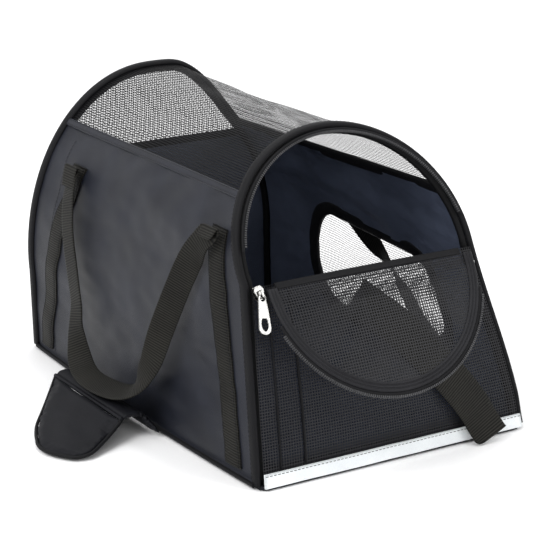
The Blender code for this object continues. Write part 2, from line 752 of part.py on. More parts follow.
def build_grip(cover, hook):
    """A core under the handle with a wing each side; the wings close round both handles."""
    rows = []
    for x in (CORE_LEFT + GAP, (CORE_LEFT + CORE_RIGHT) / 2, CORE_RIGHT - GAP):
        crown = CORE_HIGH + 0.0015 * (1 - abs(x - (CORE_LEFT + CORE_RIGHT) / 2) / 0.0105)
        rows.append([V((x, y, crown)) for y in spread(CORE_FRONT, CORE_BACK, 5)])
    add("grip_cover_core", wing_grid(rows, V((0, 0, PAD))), cover)
    left = []
    tip_front, tip_back = V((-0.252, -0.088, 0.0012)), V((-0.268, -0.012, 0.0012))
    for k in spread(0, 1, 7):
        front = lerp(V((CORE_LEFT - GAP, CORE_FRONT, 0)), tip_front, k)
        back = lerp(V((CORE_LEFT - GAP, CORE_BACK, 0)), tip_back, k)
        level = 0.0012 + (CORE_HIGH - 0.0022) * (1 - k) ** 1.6
        pinch = 0.012 * max(0.0, (k - 0.7) / 0.3) ** 2
        row = []
        for m in spread(0, 1, 7):
            point = lerp(front, back, pinch / 0.09 + m * (1 - 2 * pinch / 0.09))
            bow = 0.010 * k * (1 - (2 * m - 1) ** 2)
            row.append(V((point.x - bow, point.y, level)))
        left.append(row)
    add("grip_cover_outer_wing", wing_grid(left, V((0, 0, PAD))), cover, V((CORE_LEFT, 0, CORE_TOP)))
    right = []
    for k in spread(0, 1, 5):
        x = CORE_RIGHT + GAP + 0.0125 * k
        z = CORE_HIGH - 0.0007 - 0.0165 * k
        right.append([V((x, y, z)) for y in spread(CORE_FRONT - 0.014 * k, CORE_BACK - 0.020, 5)])
    add("grip_cover_inner_wing", wing_grid(right, V((0.0010, 0, PAD * 0.8))), cover,
        V((CORE_RIGHT, 0, CORE_TOP)))
    patch = [[p + V((0, 0, PAD + GAP)) for p in row[2:5]] for row in left[4:6]]
    add("hook_strip", wing_grid(patch, V((0, 0, 0.0010))), hook, V((CORE_LEFT, 0, CORE_TOP)))


def build_piping(tape):
    radius = 0.0020
    for side, sign in (("near", -1), ("far", 1)):
        path = [V((sign * (HALF_W + base_bulge(y) + radius + 2 * GAP), y, radius + 0.0008))
                for y in spread(-HALF_L + 0.010, HALF_L - 0.010, 13)]
        rings = []
        for point in path:
            rings.append([point + radius * V((cos(a), 0, sin(a))) for a in spread(0, 2 * pi, 9)[:-1]])
        add(f"{side}_base_piping", sweep(rings), tape)


def main():
    clear_scene()
    fabric = material("side_fabric", (0.035, 0.038, 0.050), 0.62)
    net = material("net", (0.010, 0.010, 0.011), 0.70)
    tape = material("binding_tape", (0.012, 0.012, 0.013), 0.65)
    webbing = material("webbing", (0.020, 0.020, 0.018), 0.75)
    cover = material("grip_fabric", (0.018, 0.018, 0.021), 0.70)
    board = material("board", (0.050, 0.050, 0.055), 0.80)
    fleece = material("mat_fabric", (0.030, 0.032, 0.042), 0.90)
    strip = material("pale_strip", (0.800, 0.830, 0.850), 0.45)
    coil = material("zip_coil", (0.015, 0.015, 0.016), 0.40)
    nickel = material("nickel", (0.720, 0.710, 0.690), 0.22, 1.0)
    steel = material("spring_steel", (0.450, 0.450, 0.460), 0.35, 1.0)
    hook = material("hook_tape", (0.012, 0.012, 0.013), 0.90)
    build_base(fabric, board, fleece)
    build_shell(fabric, net, tape)
    build_arches(tape, steel)
    build_front(net, strip, tape)
    build_rear(net, strip)
    build_bag_zip(tape, coil, nickel)
    build_slider(nickel)
    build_pull(nickel)
    build_flap(net, tape, coil)
    build_webbing(webbing)
    build_grip(cover, hook)
    build_piping(tape)


main()
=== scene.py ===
"""Looks of the pet carrier bag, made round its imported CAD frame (metres, +Z up, front end at -Y)."""

from math import asin, cos, pi, radians, sin

import bpy
import numpy as np
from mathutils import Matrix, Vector, noise


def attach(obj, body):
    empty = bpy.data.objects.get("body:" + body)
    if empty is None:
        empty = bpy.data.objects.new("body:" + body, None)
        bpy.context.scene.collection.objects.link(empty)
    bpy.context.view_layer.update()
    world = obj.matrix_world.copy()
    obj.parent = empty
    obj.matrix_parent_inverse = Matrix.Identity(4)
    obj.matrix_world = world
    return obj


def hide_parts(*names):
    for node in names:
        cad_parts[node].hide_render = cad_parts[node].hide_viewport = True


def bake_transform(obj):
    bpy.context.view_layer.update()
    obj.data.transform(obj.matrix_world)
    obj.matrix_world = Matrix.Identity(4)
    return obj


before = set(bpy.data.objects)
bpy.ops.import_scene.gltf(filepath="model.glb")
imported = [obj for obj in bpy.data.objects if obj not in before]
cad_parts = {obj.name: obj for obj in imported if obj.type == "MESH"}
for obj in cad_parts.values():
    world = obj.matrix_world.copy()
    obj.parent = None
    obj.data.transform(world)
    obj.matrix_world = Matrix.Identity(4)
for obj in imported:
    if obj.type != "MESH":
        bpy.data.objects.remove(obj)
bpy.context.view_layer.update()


# ---- the bag's own dimensions, as in its CAD source ----------------------------------------------
def vec(*v):
    return np.array(v, float)


HALF_L, HALF_W = 0.2305, 0.145
FRONT_LEAN, ARCH_LEAN, REAR_LEAN = radians(9.2), radians(30.2), radians(3.6)
FOLD_RISE, CENTRE_RISE, SETBACK = 0.184, 0.010, 0.004
ARCH_SWAY, REAR_SWAY = -0.0175, -0.016
CHAIN_RADIUS, SHELL_RADIUS = 0.1165, 0.1226
REAR_LEG, REAR_RISE, REAR_HALF = 0.098, 0.1945, 0.1455
SIDE_BULGE, NEAR_SEAM, FAR_SEAM = 0.006, 0.345, 0.690
HINGE_FORWARD, FLAP_HANG = 0.0042, radians(33.0)
LOWER_UP = vec(0, sin(FRONT_LEAN), cos(FRONT_LEAN))
LOWER_OUT = vec(0, -cos(FRONT_LEAN), sin(FRONT_LEAN))
ARCH_UP = vec(0, sin(ARCH_LEAN), cos(ARCH_LEAN))
ARCH_OUT = vec(0, -cos(ARCH_LEAN), sin(ARCH_LEAN))
REAR_UP = vec(0, -sin(REAR_LEAN), cos(REAR_LEAN))
ACROSS, UP = vec(1, 0, 0), vec(0, 0, 1)
FOLD = vec(ARCH_SWAY, -HALF_L, 0) + FOLD_RISE * LOWER_UP
ARCH_CENTRE = FOLD + CENTRE_RISE * ARCH_UP
HINGE = FOLD + HINGE_FORWARD * ARCH_OUT
CLOSE_TURN = pi + ARCH_LEAN - FLAP_HANG


# ---- small maths ---------------------------------------------------------------------------------
def unit(v):
    return v / np.maximum(np.linalg.norm(v, axis=-1, keepdims=True), 1e-12)


def lerp(a, b, t):
    return a + (b - a) * t


def smoothstep(lo, hi, x):
    t = np.clip((x - lo) / (hi - lo), 0, 1)
    return t * t * (3 - 2 * t)


def noise_at(points, size, seed):
    """Smooth noise, about -1 to 1, at each point; size is the distance over which it changes."""
    flat = np.asarray(points, float).reshape(-1, 3) / size
    shift = Vector((seed * 7.13, seed * 3.71, seed * 5.37))
    out = [noise.noise(Vector(p) + shift) for p in flat.tolist()]
    return np.array(out).reshape(np.shape(points)[:-1])


class Line:
    """A polyline read by the share of its length."""

    def __init__(self, points):
        self.points = np.asarray(points, float)
        steps = np.linalg.norm(np.diff(self.points, axis=0), axis=1)
        run = np.concatenate([[0], np.cumsum(steps)])
        self.length = run[-1]
        self.share = run / run[-1]

    def at(self, t):
        return np.stack([np.interp(t, self.share, self.points[:, k]) for k in range(3)], -1)


def curve_through(points, per_span=8):
    """A smooth curve through the points (Catmull-Rom)."""
    p = np.asarray(points, float)
    p = np.concatenate([[2 * p[0] - p[1]], p, [2 * p[-1] - p[-2]]])
    out = []
    for a, b, c, d in zip(p, p[1:], p[2:], p[3:]):
        for t in np.arange(per_span) / per_span:
            out.append(0.5 * (2 * b + (c - a) * t + (2 * a - 5 * b + 4 * c - d) * t * t
                              + (3 * b - a - 3 * c + d) * t ** 3))
    out.append(p[-2])
    return np.array(out)


# ---- the shell -----------------------------------------------------------------------------------
def front_line():
    drop = asin(CENTRE_RISE / SHELL_RADIUS)
    half = SHELL_RADIUS * cos(drop)
    k = np.linspace(0, 1, 13)[:-1, None]
    leg = FOLD_RISE * k * LOWER_UP + vec(0, -HALF_L, 0)
    near = leg + lerp(-HALF_W, ARCH_SWAY - half, k) * ACROSS
    far = (leg + lerp(HALF_W, ARCH_SWAY + half, k) * ACROSS)[::-1]
    turn = np.linspace(pi + drop, -drop, 91)[:, None]
    arc = ARCH_CENTRE + SHELL_RADIUS * (np.cos(turn) * ACROSS + np.sin(turn) * ARCH_UP)
    return Line(np.concatenate([near, arc, far]) + vec(0, SETBACK, 0))


REAR_PEAK = radians(75)      # the rear arch is slightly kinked here, at its top
REAR_SAG = 0.009             # and falls away on its far shoulder


def rear_line():
    turn = np.linspace(pi, 0, 91)
    lean = np.linspace(0, 1, 9)
    radius_gain = 0.004 * np.exp(-((turn - REAR_PEAK) / 0.15) ** 2)
    radius_gain -= REAR_SAG * np.exp(-((turn - radians(46)) / 0.30) ** 2)
    half = REAR_HALF + np.minimum(radius_gain, 0)
    x = np.concatenate([-HALF_W + 0 * lean[:-1], half * np.cos(turn), HALF_W + 0 * lean[1:]])
    s = np.concatenate([REAR_LEG * lean[:-1], REAR_LEG + (REAR_RISE + radius_gain) * np.sin(turn),
                        REAR_LEG * lean[::-1][1:]])
    x = x + REAR_SWAY * s / (REAR_LEG + REAR_RISE)
    return Line(np.stack([x, 0 * s + HALF_L, 0 * s], 1) + s[:, None] * REAR_UP)


FRONT, REAR = front_line(), rear_line()
STEP = 0.003


def side_of(t):
    return np.where(np.asarray(t) < 0.5, -1.0, 1.0)


def fullness(t, v):
    """How far the stuffed-out cloth stands off the flat shell, outwards."""
    t, v = np.asarray(t, float), np.asarray(v, float)
    near = np.clip(1 - t / NEAR_SEAM, 0, 1)
    far = np.clip((t - FAR_SEAM) / (1 - FAR_SEAM), 0, 1)
    down = np.where(t < 0.5, near, far)
    return SIDE_BULGE * down * 4 * v * (1 - v)


LEG_SHARE = 0.245            # of the front outline, for each straight leg
LEG_PUSH = 0.0075            # the far front leg is pushed out, most below its middle


def leg_push(down):
    """Sideways push of the far front leg; down is 0 at the fold and 1 at the base."""
    return LEG_PUSH * smoothstep(0.0, 0.75, down) * (1 - 0.45 * smoothstep(0.8, 1.0, down))


def shell(t, v):
    t, v = np.broadcast_arrays(np.asarray(t, float), np.asarray(v, float))
    flat = lerp(FRONT.at(t), REAR.at(t), v[..., None])
    push = leg_push((t - 1 + LEG_SHARE) / LEG_SHARE) * np.clip(1 - v / 0.35, 0, 1) ** 2
    return flat + (side_of(t) * fullness(t, v) + push)[..., None] * ACROSS


def shell_axes(t, v):
    """Outwards, rearwards and round the arch, at points of the shell."""
    round_it = unit(shell(np.minimum(t + STEP, 1), v) - shell(np.maximum(t - STEP, 0), v))
    back = unit(shell(t, np.minimum(v + STEP, 1)) - shell(t, np.maximum(v - STEP, 0)))
    return unit(np.cross(round_it, back)), back, round_it


def outward(t, v):
    out = shell_axes(t, v)[0]
    centre = vec(-0.017, 0, 0.12)
    flip = np.sum(out * (shell(t, v) - centre), -1, keepdims=True) < 0
    return np.where(flip, -out, out)


def run_share(t, length):
    return length / np.linalg.norm(REAR.at(t) - FRONT.at(t), axis=-1)


# ---- meshes --------------------------------------------------------------------------------------
def quads(rows, cols, close_rows=False, close_cols=False):
    """Faces of a grid of points, numbered row by row."""
    i = np.arange(rows if close_rows else rows - 1)[:, None]
    j = np.arange(cols if close_cols else cols - 1)[None, :]
    i2, j2 = (i + 1) % rows, (j + 1) % cols
    return np.stack([i * cols + j, i * cols + j2, i2 * cols + j2, i2 * cols + j], -1).reshape(-1, 4)


def make(name, verts, faces, finish, uv=None, smooth=True, face_slots=None):
    """A mesh object; uv holds metres along and across the cloth, one pair for each vertex."""
    verts = np.asarray(verts, float).reshape(-1, 3)
    mesh = bpy.data.meshes.new(name)
    mesh.from_pydata(verts.tolist(), [], [list(f) for f in np.asarray(faces).tolist()])
    if uv is not None:
        layer = mesh.uv_layers.new(name="UVMap")
        index = np.empty(len(mesh.loops), dtype=np.int32)
        mesh.loops.foreach_get("vertex_index", index)
        layer.data.foreach_set("uv", np.asarray(uv, np.float32).reshape(-1, 2)[index].ravel())
    for item in finish if isinstance(finish, (list, tuple)) else [finish]:
        mesh.materials.append(item)
    if face_slots is not None:
        mesh.polygons.foreach_set("material_index", np.asarray(face_slots, np.int32))
    if smooth:
        mesh.shade_smooth()
    mesh.validate()
    mesh.update()
    made = bpy.data.objects.new(name, mesh)
    bpy.context.scene.collection.objects.link(made)
    return made


def slab_object(name, outer, inner, finish, uv, smooth=True):
    """A closed sheet between two grids of points; finish may be [outside, inside]."""
    rows, cols = outer.shape[:2]
    count = rows * cols
    top = quads(rows, cols)
    under = top[:, ::-1] + count
    ring = [i * cols for i in range(rows)] + [(rows - 1) * cols + j for j in range(1, cols)]
    ring += [i * cols + cols - 1 for i in range(rows - 2, -1, -1)] + [j for j in range(cols - 2, 0, -1)]
    ring = np.array(ring)
    after = np.roll(ring, -1)
    edge = np.stack([ring, after, after + count, ring + count], -1)
    faces = np.concatenate([top, under, edge[:, ::-1]])
    slots = None
    if isinstance(finish, list):
        slots = np.concatenate([np.zeros(len(top)), np.ones(len(under)), np.zeros(len(edge))])
    return make(name, np.concatenate([outer.reshape(-1, 3), inner.reshape(-1, 3)]), faces, finish,
                np.concatenate([uv.reshape(-1, 2)] * 2), smooth, slots)


def grid_uv(points):
    """Metres along the rows and the columns of a grid of points."""
    along_rows = np.linalg.norm(np.diff(points, axis=0), axis=-1).mean(1)
    along_cols = np.linalg.norm(np.diff(points, axis=1), axis=-1).mean(0)
    u = np.concatenate([[0], np.cumsum(along_rows)])
    v = np.concatenate([[0], np.cumsum(along_cols)])
    return np.stack(np.meshgrid(u, v, indexing="ij"), -1)


def sweep_object(name, path, side, up, profile, finish, closed=False, smooth=True):
    """A profile of (side, up) offsets carried along a path."""
    path, side, up = np.asarray(path), np.asarray(side), np.asarray(up)
    profile = np.asarray(profile, float)
    if profile.ndim == 2:
        profile = np.broadcast_to(profile, (len(path), *profile.shape))
    rings = (path[:, None] + profile[..., :1] * side[:, None] + profile[..., 1:] * up[:, None])
    rows, cols = rings.shape[:2]
    faces = [list(f) for f in quads(rows, cols, closed, True)]
    if not closed:
        faces += [list(range(cols))[::-1], [(rows - 1) * cols + j for j in range(cols)]]
    run = np.concatenate([[0], np.cumsum(np.linalg.norm(np.diff(path, axis=0), axis=1))])
    around = np.linalg.norm(np.diff(profile[0], axis=0), axis=1)
    around = np.concatenate([[0], np.cumsum(around)])
    uv = np.stack(np.broadcast_arrays(run[:, None], around[None, :]), -1)
    verts = rings.reshape(-1, 3)
    mesh = bpy.data.meshes.new(name)
    mesh.from_pydata(verts.tolist(), [], faces)
    layer = mesh.uv_layers.new(name="UVMap")
    index = np.empty(len(mesh.loops), dtype=np.int32)
    mesh.loops.foreach_get("vertex_index", index)
    layer.data.foreach_set("uv", uv.reshape(-1, 2).astype(np.float32)[index].ravel())
    mesh.materials.append(finish)
    if smooth:
        mesh.shade_smooth()
    mesh.update()
    made = bpy.data.objects.new(name, mesh)
    bpy.context.scene.collection.objects.link(made)
    return made


def oval(half_a, half_b, count=14, power=2.0):
    turn = np.linspace(0, 2 * pi, count, endpoint=False)
    c, s = np.cos(turn), np.sin(turn)
    return np.stack([half_a * np.sign(c) * np.abs(c) ** (2 / power),
                     half_b * np.sign(s) * np.abs(s) ** (2 / power)], -1)


def path_frames(path, hint):
    """Side and up vectors along a path; up leans to the hint."""
    run = unit(np.gradient(path, axis=0))
    side = unit(np.cross(np.broadcast_to(hint, run.shape), run))
    return side, unit(np.cross(run, side))


def cord_object(name, path, radius, finish, sides=10, hint=vec(0.1, 1, 0.05), closed=False):
    side, up = path_frames(path, hint)
    return sweep_object(name, path, side, up, oval(radius, radius, sides), finish, closed)


def merge(name, pieces, finish, smooth=True):
    """One object from many (verts, faces) lists."""
    verts, faces, count = [], [], 0
    for v, f in pieces:
        verts.append(v)
        faces.append(np.asarray(f) + count)
        count += len(v)
    return make(name, np.concatenate(verts), np.concatenate(faces), finish, None, smooth)


def net_object(name, place, rows, cols, finish, strand=0.26, keep=None):
    """A real net: place(a, b) maps shares 0..1 to points; keep(a, b) trims it by its cells."""
    half = strand / 2

    def lines(count):
        k = np.arange(count + 1)
        return np.clip(np.stack([k - half, k + half], -1).ravel() / count, 0, 1)

    a, b = lines(rows), lines(cols)
    grid_a, grid_b = np.meshgrid(a, b, indexing="ij")
    verts = place(grid_a, grid_b)
    faces = quads(len(a), len(b))
    i, j = np.divmod(np.arange(len(faces)), len(b) - 1)
    hole = (i % 2 == 1) & (j % 2 == 1)
    keepers = ~hole
    if keep is not None:
        mid_a, mid_b = (a[i] + a[i + 1]) / 2, (b[j] + b[j + 1]) / 2
        keepers &= keep(mid_a, mid_b)
    faces = faces[keepers]
    used, faces = np.unique(faces, return_inverse=True)
    return make(name, verts.reshape(-1, 3)[used], faces.reshape(-1, 4), finish,
                np.stack([grid_a, grid_b], -1).reshape(-1, 2)[used])


def stitches(name, path, normal, finish, pitch=0.0042, length=0.0027, radius=0.00028):
    """A row of short raised stitches along a path on cloth."""
    line = Line(path)
    count = max(1, int(line.length / pitch))
    middle = (np.arange(count) + 0.5) / count
    half = length / 2 / line.length
    tips = [line.at(middle + half * k) for k in (-1.0, -0.6, 0.6, 1.0)]
    look = np.stack([np.interp(middle, line.share, np.asarray(normal)[:, k]) for k in range(3)], -1)
    run = unit(tips[3] - tips[0])
    side = unit(np.cross(look, run))
    rows = []
    for tip, lift in zip(tips, (-0.3, 1.0, 1.0, -0.3)):
        for a, b in ((-1, 0.0), (0, 1.0), (1, 0.0), (0, -0.6)):
            rows.append(tip + side * a * radius + look * (lift + b) * radius)
    verts = np.stack(rows, 1)
    faces = [f for f in quads(4, 4, False, True).tolist()] + [[3, 2, 1, 0], [12, 13, 14, 15]]
    faces = np.array(faces)
    every = (faces[None] + 16 * np.arange(count)[:, None, None]).reshape(-1, 4)
    return make(name, verts.reshape(-1, 3), every, finish)


# ---- finishes: all procedural --------------------------------------------------------------------
def tone(r, g, b):
    def one(c):
        c = c / 255
        return c / 12.92 if c <= 0.04045 else ((c + 0.055) / 1.055) ** 2.4
    return (one(r), one(g), one(b), 1.0)


BUMP_HEIGHT = 0.0004


def finish_of(name, dark, light, rough, metal=0.0, sheen=0.0, weave=0.0, rib=0.0, depth=0.3,
              blotch=0.04, grain=0.0015, gloss=0.12):
    """A woven, ribbed or plain finish. weave and rib are pitches in metres, read from the UV map."""
    made = bpy.data.materials.new(name)
    made.use_nodes = True
    nodes, links = made.node_tree.nodes, made.node_tree.links
    shader = nodes["Principled BSDF"]
    shader.inputs["Metallic"].default_value = metal
    shader.inputs["Specular IOR Level"].default_value = 0.5 if metal else gloss
    if sheen:
        shader.inputs["Sheen Weight"].default_value = sheen
        shader.inputs["Sheen Roughness"].default_value = 0.5
        shader.inputs["Sheen Tint"].default_value = light

    def sum_of(kind, a, b):
        node = nodes.new("ShaderNodeMath")
        node.operation = kind
        for socket, value in zip(node.inputs, (a, b)):
            if isinstance(value, (int, float)):
                socket.default_value = value
            else:
                links.new(value, socket)
        return node.outputs[0]

    place = nodes.new("ShaderNodeTexCoord").outputs["Object"]
    mottle = nodes.new("ShaderNodeTexNoise")
    mottle.inputs["Scale"].default_value = 1 / blotch
    mottle.inputs["Detail"].default_value = 4.0
    links.new(place, mottle.inputs["Vector"])
    fine = nodes.new("ShaderNodeTexNoise")
    fine.inputs["Scale"].default_value = 1 / grain
    fine.inputs["Detail"].default_value = 2.0
    links.new(place, fine.inputs["Vector"])
    height = fine.outputs["Fac"]
    if weave or rib:
        split = nodes.new("ShaderNodeSeparateXYZ")
        links.new(nodes.new("ShaderNodeUVMap").outputs["UV"], split.inputs[0])
        wave_u = sum_of("SINE", sum_of("MULTIPLY", split.outputs[0], 2 * pi / (rib or weave)), 0.0)
        if rib:
            height = sum_of("ADD", sum_of("MULTIPLY", wave_u, 0.5), 0.5)
        else:
            wave_v = sum_of("SINE", sum_of("MULTIPLY", split.outputs[1], 2 * pi / weave), 0.0)
            height = sum_of("ADD", sum_of("MULTIPLY", sum_of("MULTIPLY", wave_u, wave_v), 0.5), 0.5)
        height = sum_of("ADD", sum_of("MULTIPLY", height, 0.75),
                        sum_of("MULTIPLY", fine.outputs["Fac"], 0.25))
    # Where there is a weave or rib, its height also picks the colour: hollows take the dark tone as painted
    # shade and crests the light tone as painted highlight; the mottle adds random tone.
    share = sum_of("ADD", sum_of("MULTIPLY", height, 0.6), sum_of("MULTIPLY", mottle.outputs["Fac"], 0.4))
    ramp = nodes.new("ShaderNodeValToRGB")
    ramp.color_ramp.elements[0].color = dark
    ramp.color_ramp.elements[1].color = light
    ramp.color_ramp.elements[0].position = 0.25
    ramp.color_ramp.elements[1].position = 0.80
    links.new(share, ramp.inputs["Fac"])
    links.new(ramp.outputs["Color"], shader.inputs["Base Color"])
    worn = sum_of("ADD", sum_of("MULTIPLY", mottle.outputs["Fac"], 0.16), rough - 0.08)
    links.new(worn, shader.inputs["Roughness"])
    bump = nodes.new("ShaderNodeBump")
    bump.inputs["Strength"].default_value = depth
    bump.inputs["Distance"].default_value = BUMP_HEIGHT
    links.new(height, bump.inputs["Height"])
    links.new(bump.outputs["Normal"], shader.inputs["Normal"])
    return made


SHELL_CLOTH = finish_of("charcoal_polyester", tone(9, 10, 14), tone(36, 39, 50), 0.44,
                        sheen=0.02, weave=0.0011, gloss=0.24)
LINING = finish_of("navy_lining", tone(28, 32, 42), tone(92, 100, 120), 0.32, weave=0.0009, depth=0.12,
                   gloss=0.5, blotch=0.07)
NET = finish_of("black_net", tone(7, 7, 8), tone(22, 22, 25), 0.55)
# The same black net in lighter tones for the front and flap nets: the lighter grey is painted highlight on
# the threads.
FRONT_NET_PAINTED_LIGHT = finish_of("front_net", tone(11, 11, 13), tone(38, 38, 42), 0.46, gloss=0.25)
TAPE = finish_of("black_binding_tape", tone(8, 8, 9), tone(25, 25, 28), 0.55, weave=0.0009)
SLEEVE = finish_of("black_wire_sleeve", tone(5, 5, 6), tone(14, 14, 16), 0.60, weave=0.0012)
FLAP_TAPE = finish_of("grey_zip_binding", tone(20, 20, 22), tone(50, 50, 53), 0.60, weave=0.0009)
WEBBING = finish_of("ribbed_webbing", tone(3, 3, 3), tone(42, 41, 37), 0.58, rib=0.0026, depth=1.0)
THREAD = finish_of("sewing_thread", tone(22, 22, 25), tone(52, 52, 57), 0.5)
GRIP_CLOTH = finish_of("grip_fabric", tone(8, 8, 11), tone(27, 28, 33), 0.55, sheen=0.02)
STRIP = finish_of("pale_strip", tone(205, 210, 213), tone(246, 249, 250), 0.5, weave=0.0012, depth=0.2)
# The coil teeth are dark; the grey of this finish is partly painted highlight.
COIL = finish_of("dark_coil_painted_highlight", tone(26, 26, 28), tone(84, 84, 86), 0.36)
NICKEL = finish_of("nickel", tone(84, 84, 84), tone(176, 175, 172), 0.24, metal=1.0, depth=0.10)
HOOK = finish_of("hook_tape", tone(12, 12, 13), tone(40, 40, 42), 0.85, grain=0.0007, depth=0.9)
BOARD = finish_of("fibre_board", tone(30, 30, 33), tone(52, 52, 56), 0.7)
MAT_CLOTH = finish_of("mat_fleece", tone(22, 26, 36), tone(46, 52, 66), 0.8, sheen=0.5,
                      grain=0.001, depth=0.7)
BASE_CLOTH = finish_of("base_polyester", tone(14, 15, 18), tone(32, 33, 38), 0.66, sheen=0.2)


def on(piece, body, slot, *nodes):
    """The piece rides on the body and stands for the nodes, which it hides; slot is not used."""
    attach(piece, body)
    if nodes:
        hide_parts(*nodes)
    return piece


def dress(node, finish):
    """A carried-over CAD node gets a procedural finish."""
    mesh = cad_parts[node].data
    mesh.materials.clear()
    mesh.materials.append(finish)


# ---- sides ---------------------------------------------------------------------------------------
EDGE = 0.0102                # kept clear of the cloth's own edge, for the bindings
CLOTH = 0.0026               # the side cloth's thickness
NEAR_HEM = 0.885             # share of the way back of a stitched seam down the near side


def creases(t, v):
    """Soft folds of the side cloth, fading out at the seams."""
    p = shell(t, v)
    fade = np.clip(np.minimum(v, 1 - v) / 0.10, 0, 1) * np.clip(np.minimum(t, 1 - t) / 0.04, 0, 1)
    stretched = p * vec(1, 0.8, 1.6)
    return fade * (0.0034 * noise_at(stretched, 0.066, 3) + 0.0009 * noise_at(stretched, 0.020, 8))


def cloth_at(t, v, lift=0.0):
    """Points of the creased side cloth, or lifted off it."""
    return shell(t, v) + outward(t, v) * (creases(t, v) + lift)[..., None]


def locate(side, y, z):
    """The shares (t, v) of the shell's point at a given place along and height up one side."""
    y, z = np.broadcast_arrays(np.asarray(y, float), np.asarray(z, float))
    t = np.full(y.shape, 0.15 if side < 0 else 0.85)
    for _ in range(40):
        f, r = FRONT.at(t), REAR.at(t)
        v = (y - f[..., 1]) / (r[..., 1] - f[..., 1])
        t = t - side * (z - lerp(f[..., 2], r[..., 2], v)) / 0.66
    return t, v


def side_grid(t0, t1, rows, cols):
    t = np.linspace(t0, t1, rows)[:, None] + np.zeros((1, cols))
    inset = run_share(t[:, 0], EDGE * 0.35)[:, None]
    return t, lerp(inset, 1 - inset, np.linspace(0, 1, cols)[None])


def build_near_side():
    t, v = side_grid(0.004, NEAR_SEAM, 76, 130)
    outer, inner = cloth_at(t, v), cloth_at(t, v, -CLOTH)
    made = slab_object("near_side_cloth", outer, inner, [SHELL_CLOTH, LINING], grid_uv(outer))
    on(made, "bag", "side_fabric", "near_side_panel")
    t = np.linspace(0.012, NEAR_SEAM - 0.02, 60)
    v = NEAR_HEM + 0 * t
    row = stitches("near_rear_hem", cloth_at(t, v, 0.0002), outward(t, v), THREAD)
    on(row, "bag", "side_fabric")


WINDOW_HALF, WINDOW_LOW, WINDOW_HIGH, WINDOW_CROWN, WINDOW_ROUND = 0.122, 0.034, 0.136, 0.010, 0.045


def window_outline(grow=0.0, count=25):
    half, low, high = WINDOW_HALF + grow, WINDOW_LOW - grow, WINDOW_HIGH + grow
    r = WINDOW_ROUND + grow
    out = []
    for cx, cz, a in ((half - r, high - r, 0), (r - half, high - r, 90), (r - half, low + r, 180),
                      (half - r, low + r, 270)):
        turn = np.radians(np.linspace(a, a + 90, count))
        out.append(np.stack([cx + r * np.cos(turn), cz + r * np.sin(turn)], 1))
    out = np.concatenate(out)
    gaps = np.linalg.norm(out - np.roll(out, 1, 0), axis=1) > 1e-7
    out = out[gaps]
    share = np.clip((out[:, 1] - low) / (high - low), 0, 1)
    out[:, 1] += WINDOW_CROWN * share * (1 - (out[:, 0] / half) ** 2).clip(0)
    return out


def in_window(y, z, grow):
    """True inside the window outline, grown outwards."""
    share = np.clip((z - WINDOW_LOW) / (WINDOW_HIGH - WINDOW_LOW), 0, 1)
    flat_z = z - WINDOW_CROWN * share * (1 - (y / WINDOW_HALF) ** 2).clip(0)
    half_z = (WINDOW_HIGH - WINDOW_LOW) / 2
    q_y = np.abs(y) - WINDOW_HALF - grow + WINDOW_ROUND + grow
    q_z = np.abs(flat_z - WINDOW_LOW - half_z) - half_z - grow + WINDOW_ROUND + grow
    away = np.hypot(q_y.clip(0), q_z.clip(0)) + np.minimum(np.maximum(q_y, q_z), 0)
    return away < WINDOW_ROUND + grow


def build_far_side():
    rows, cols = 92, 150
    t, v = side_grid(0.996, FAR_SEAM, rows, cols)
    outer, inner = cloth_at(t, v), cloth_at(t, v, -CLOTH)
    faces = quads(rows, cols)
    middle = outer.reshape(-1, 3)[faces].mean(1)
    keep = ~in_window(middle[:, 1], middle[:, 2], 0.004)
    uv = grid_uv(outer)
    outside = make("far_side_cloth", outer, faces[keep][:, ::-1], SHELL_CLOTH, uv)
    on(outside, "bag", "side_fabric", "far_side_panel")
    inside = make("far_side_lining", inner, faces[keep], LINING, uv)
    on(inside, "bag", "side_fabric")
    outline = window_outline()
    path_t, path_v = locate(1, outline[:, 0], outline[:, 1])
    middle = cloth_at(path_t, path_v, -CLOTH / 2)
    out = outward(path_t, path_v)
    run = unit(np.roll(middle, -1, 0) - np.roll(middle, 1, 0))
    side = unit(np.cross(out, run))
    centre = middle.mean(0)
    side = np.where(np.sum(side * (middle - centre), -1, keepdims=True) < 0, -side, side)
    profile = oval(0.0080, 0.0030, 16, 3.0) + vec(0.0045, 0)
    rim = sweep_object("far_window_rim", middle, side, out, profile, TAPE, closed=True)
    on(rim, "bag", "binding_tape", "far_window_binding")

    def place(a, b):
        y = lerp(-WINDOW_HALF, WINDOW_HALF, a)
        z = lerp(WINDOW_LOW, WINDOW_HIGH + WINDOW_CROWN, b)
        nt, nv = locate(1, y, z)
        return cloth_at(nt, nv, -CLOTH / 2)

    net = net_object("far_window_net", place, 88, 40, NET, 0.20,
                     lambda a, b: in_window(lerp(-WINDOW_HALF, WINDOW_HALF, a),
                                            lerp(WINDOW_LOW, WINDOW_HIGH + WINDOW_CROWN, b), 0.001))
    on(net, "bag", "net", "far_window_mesh")


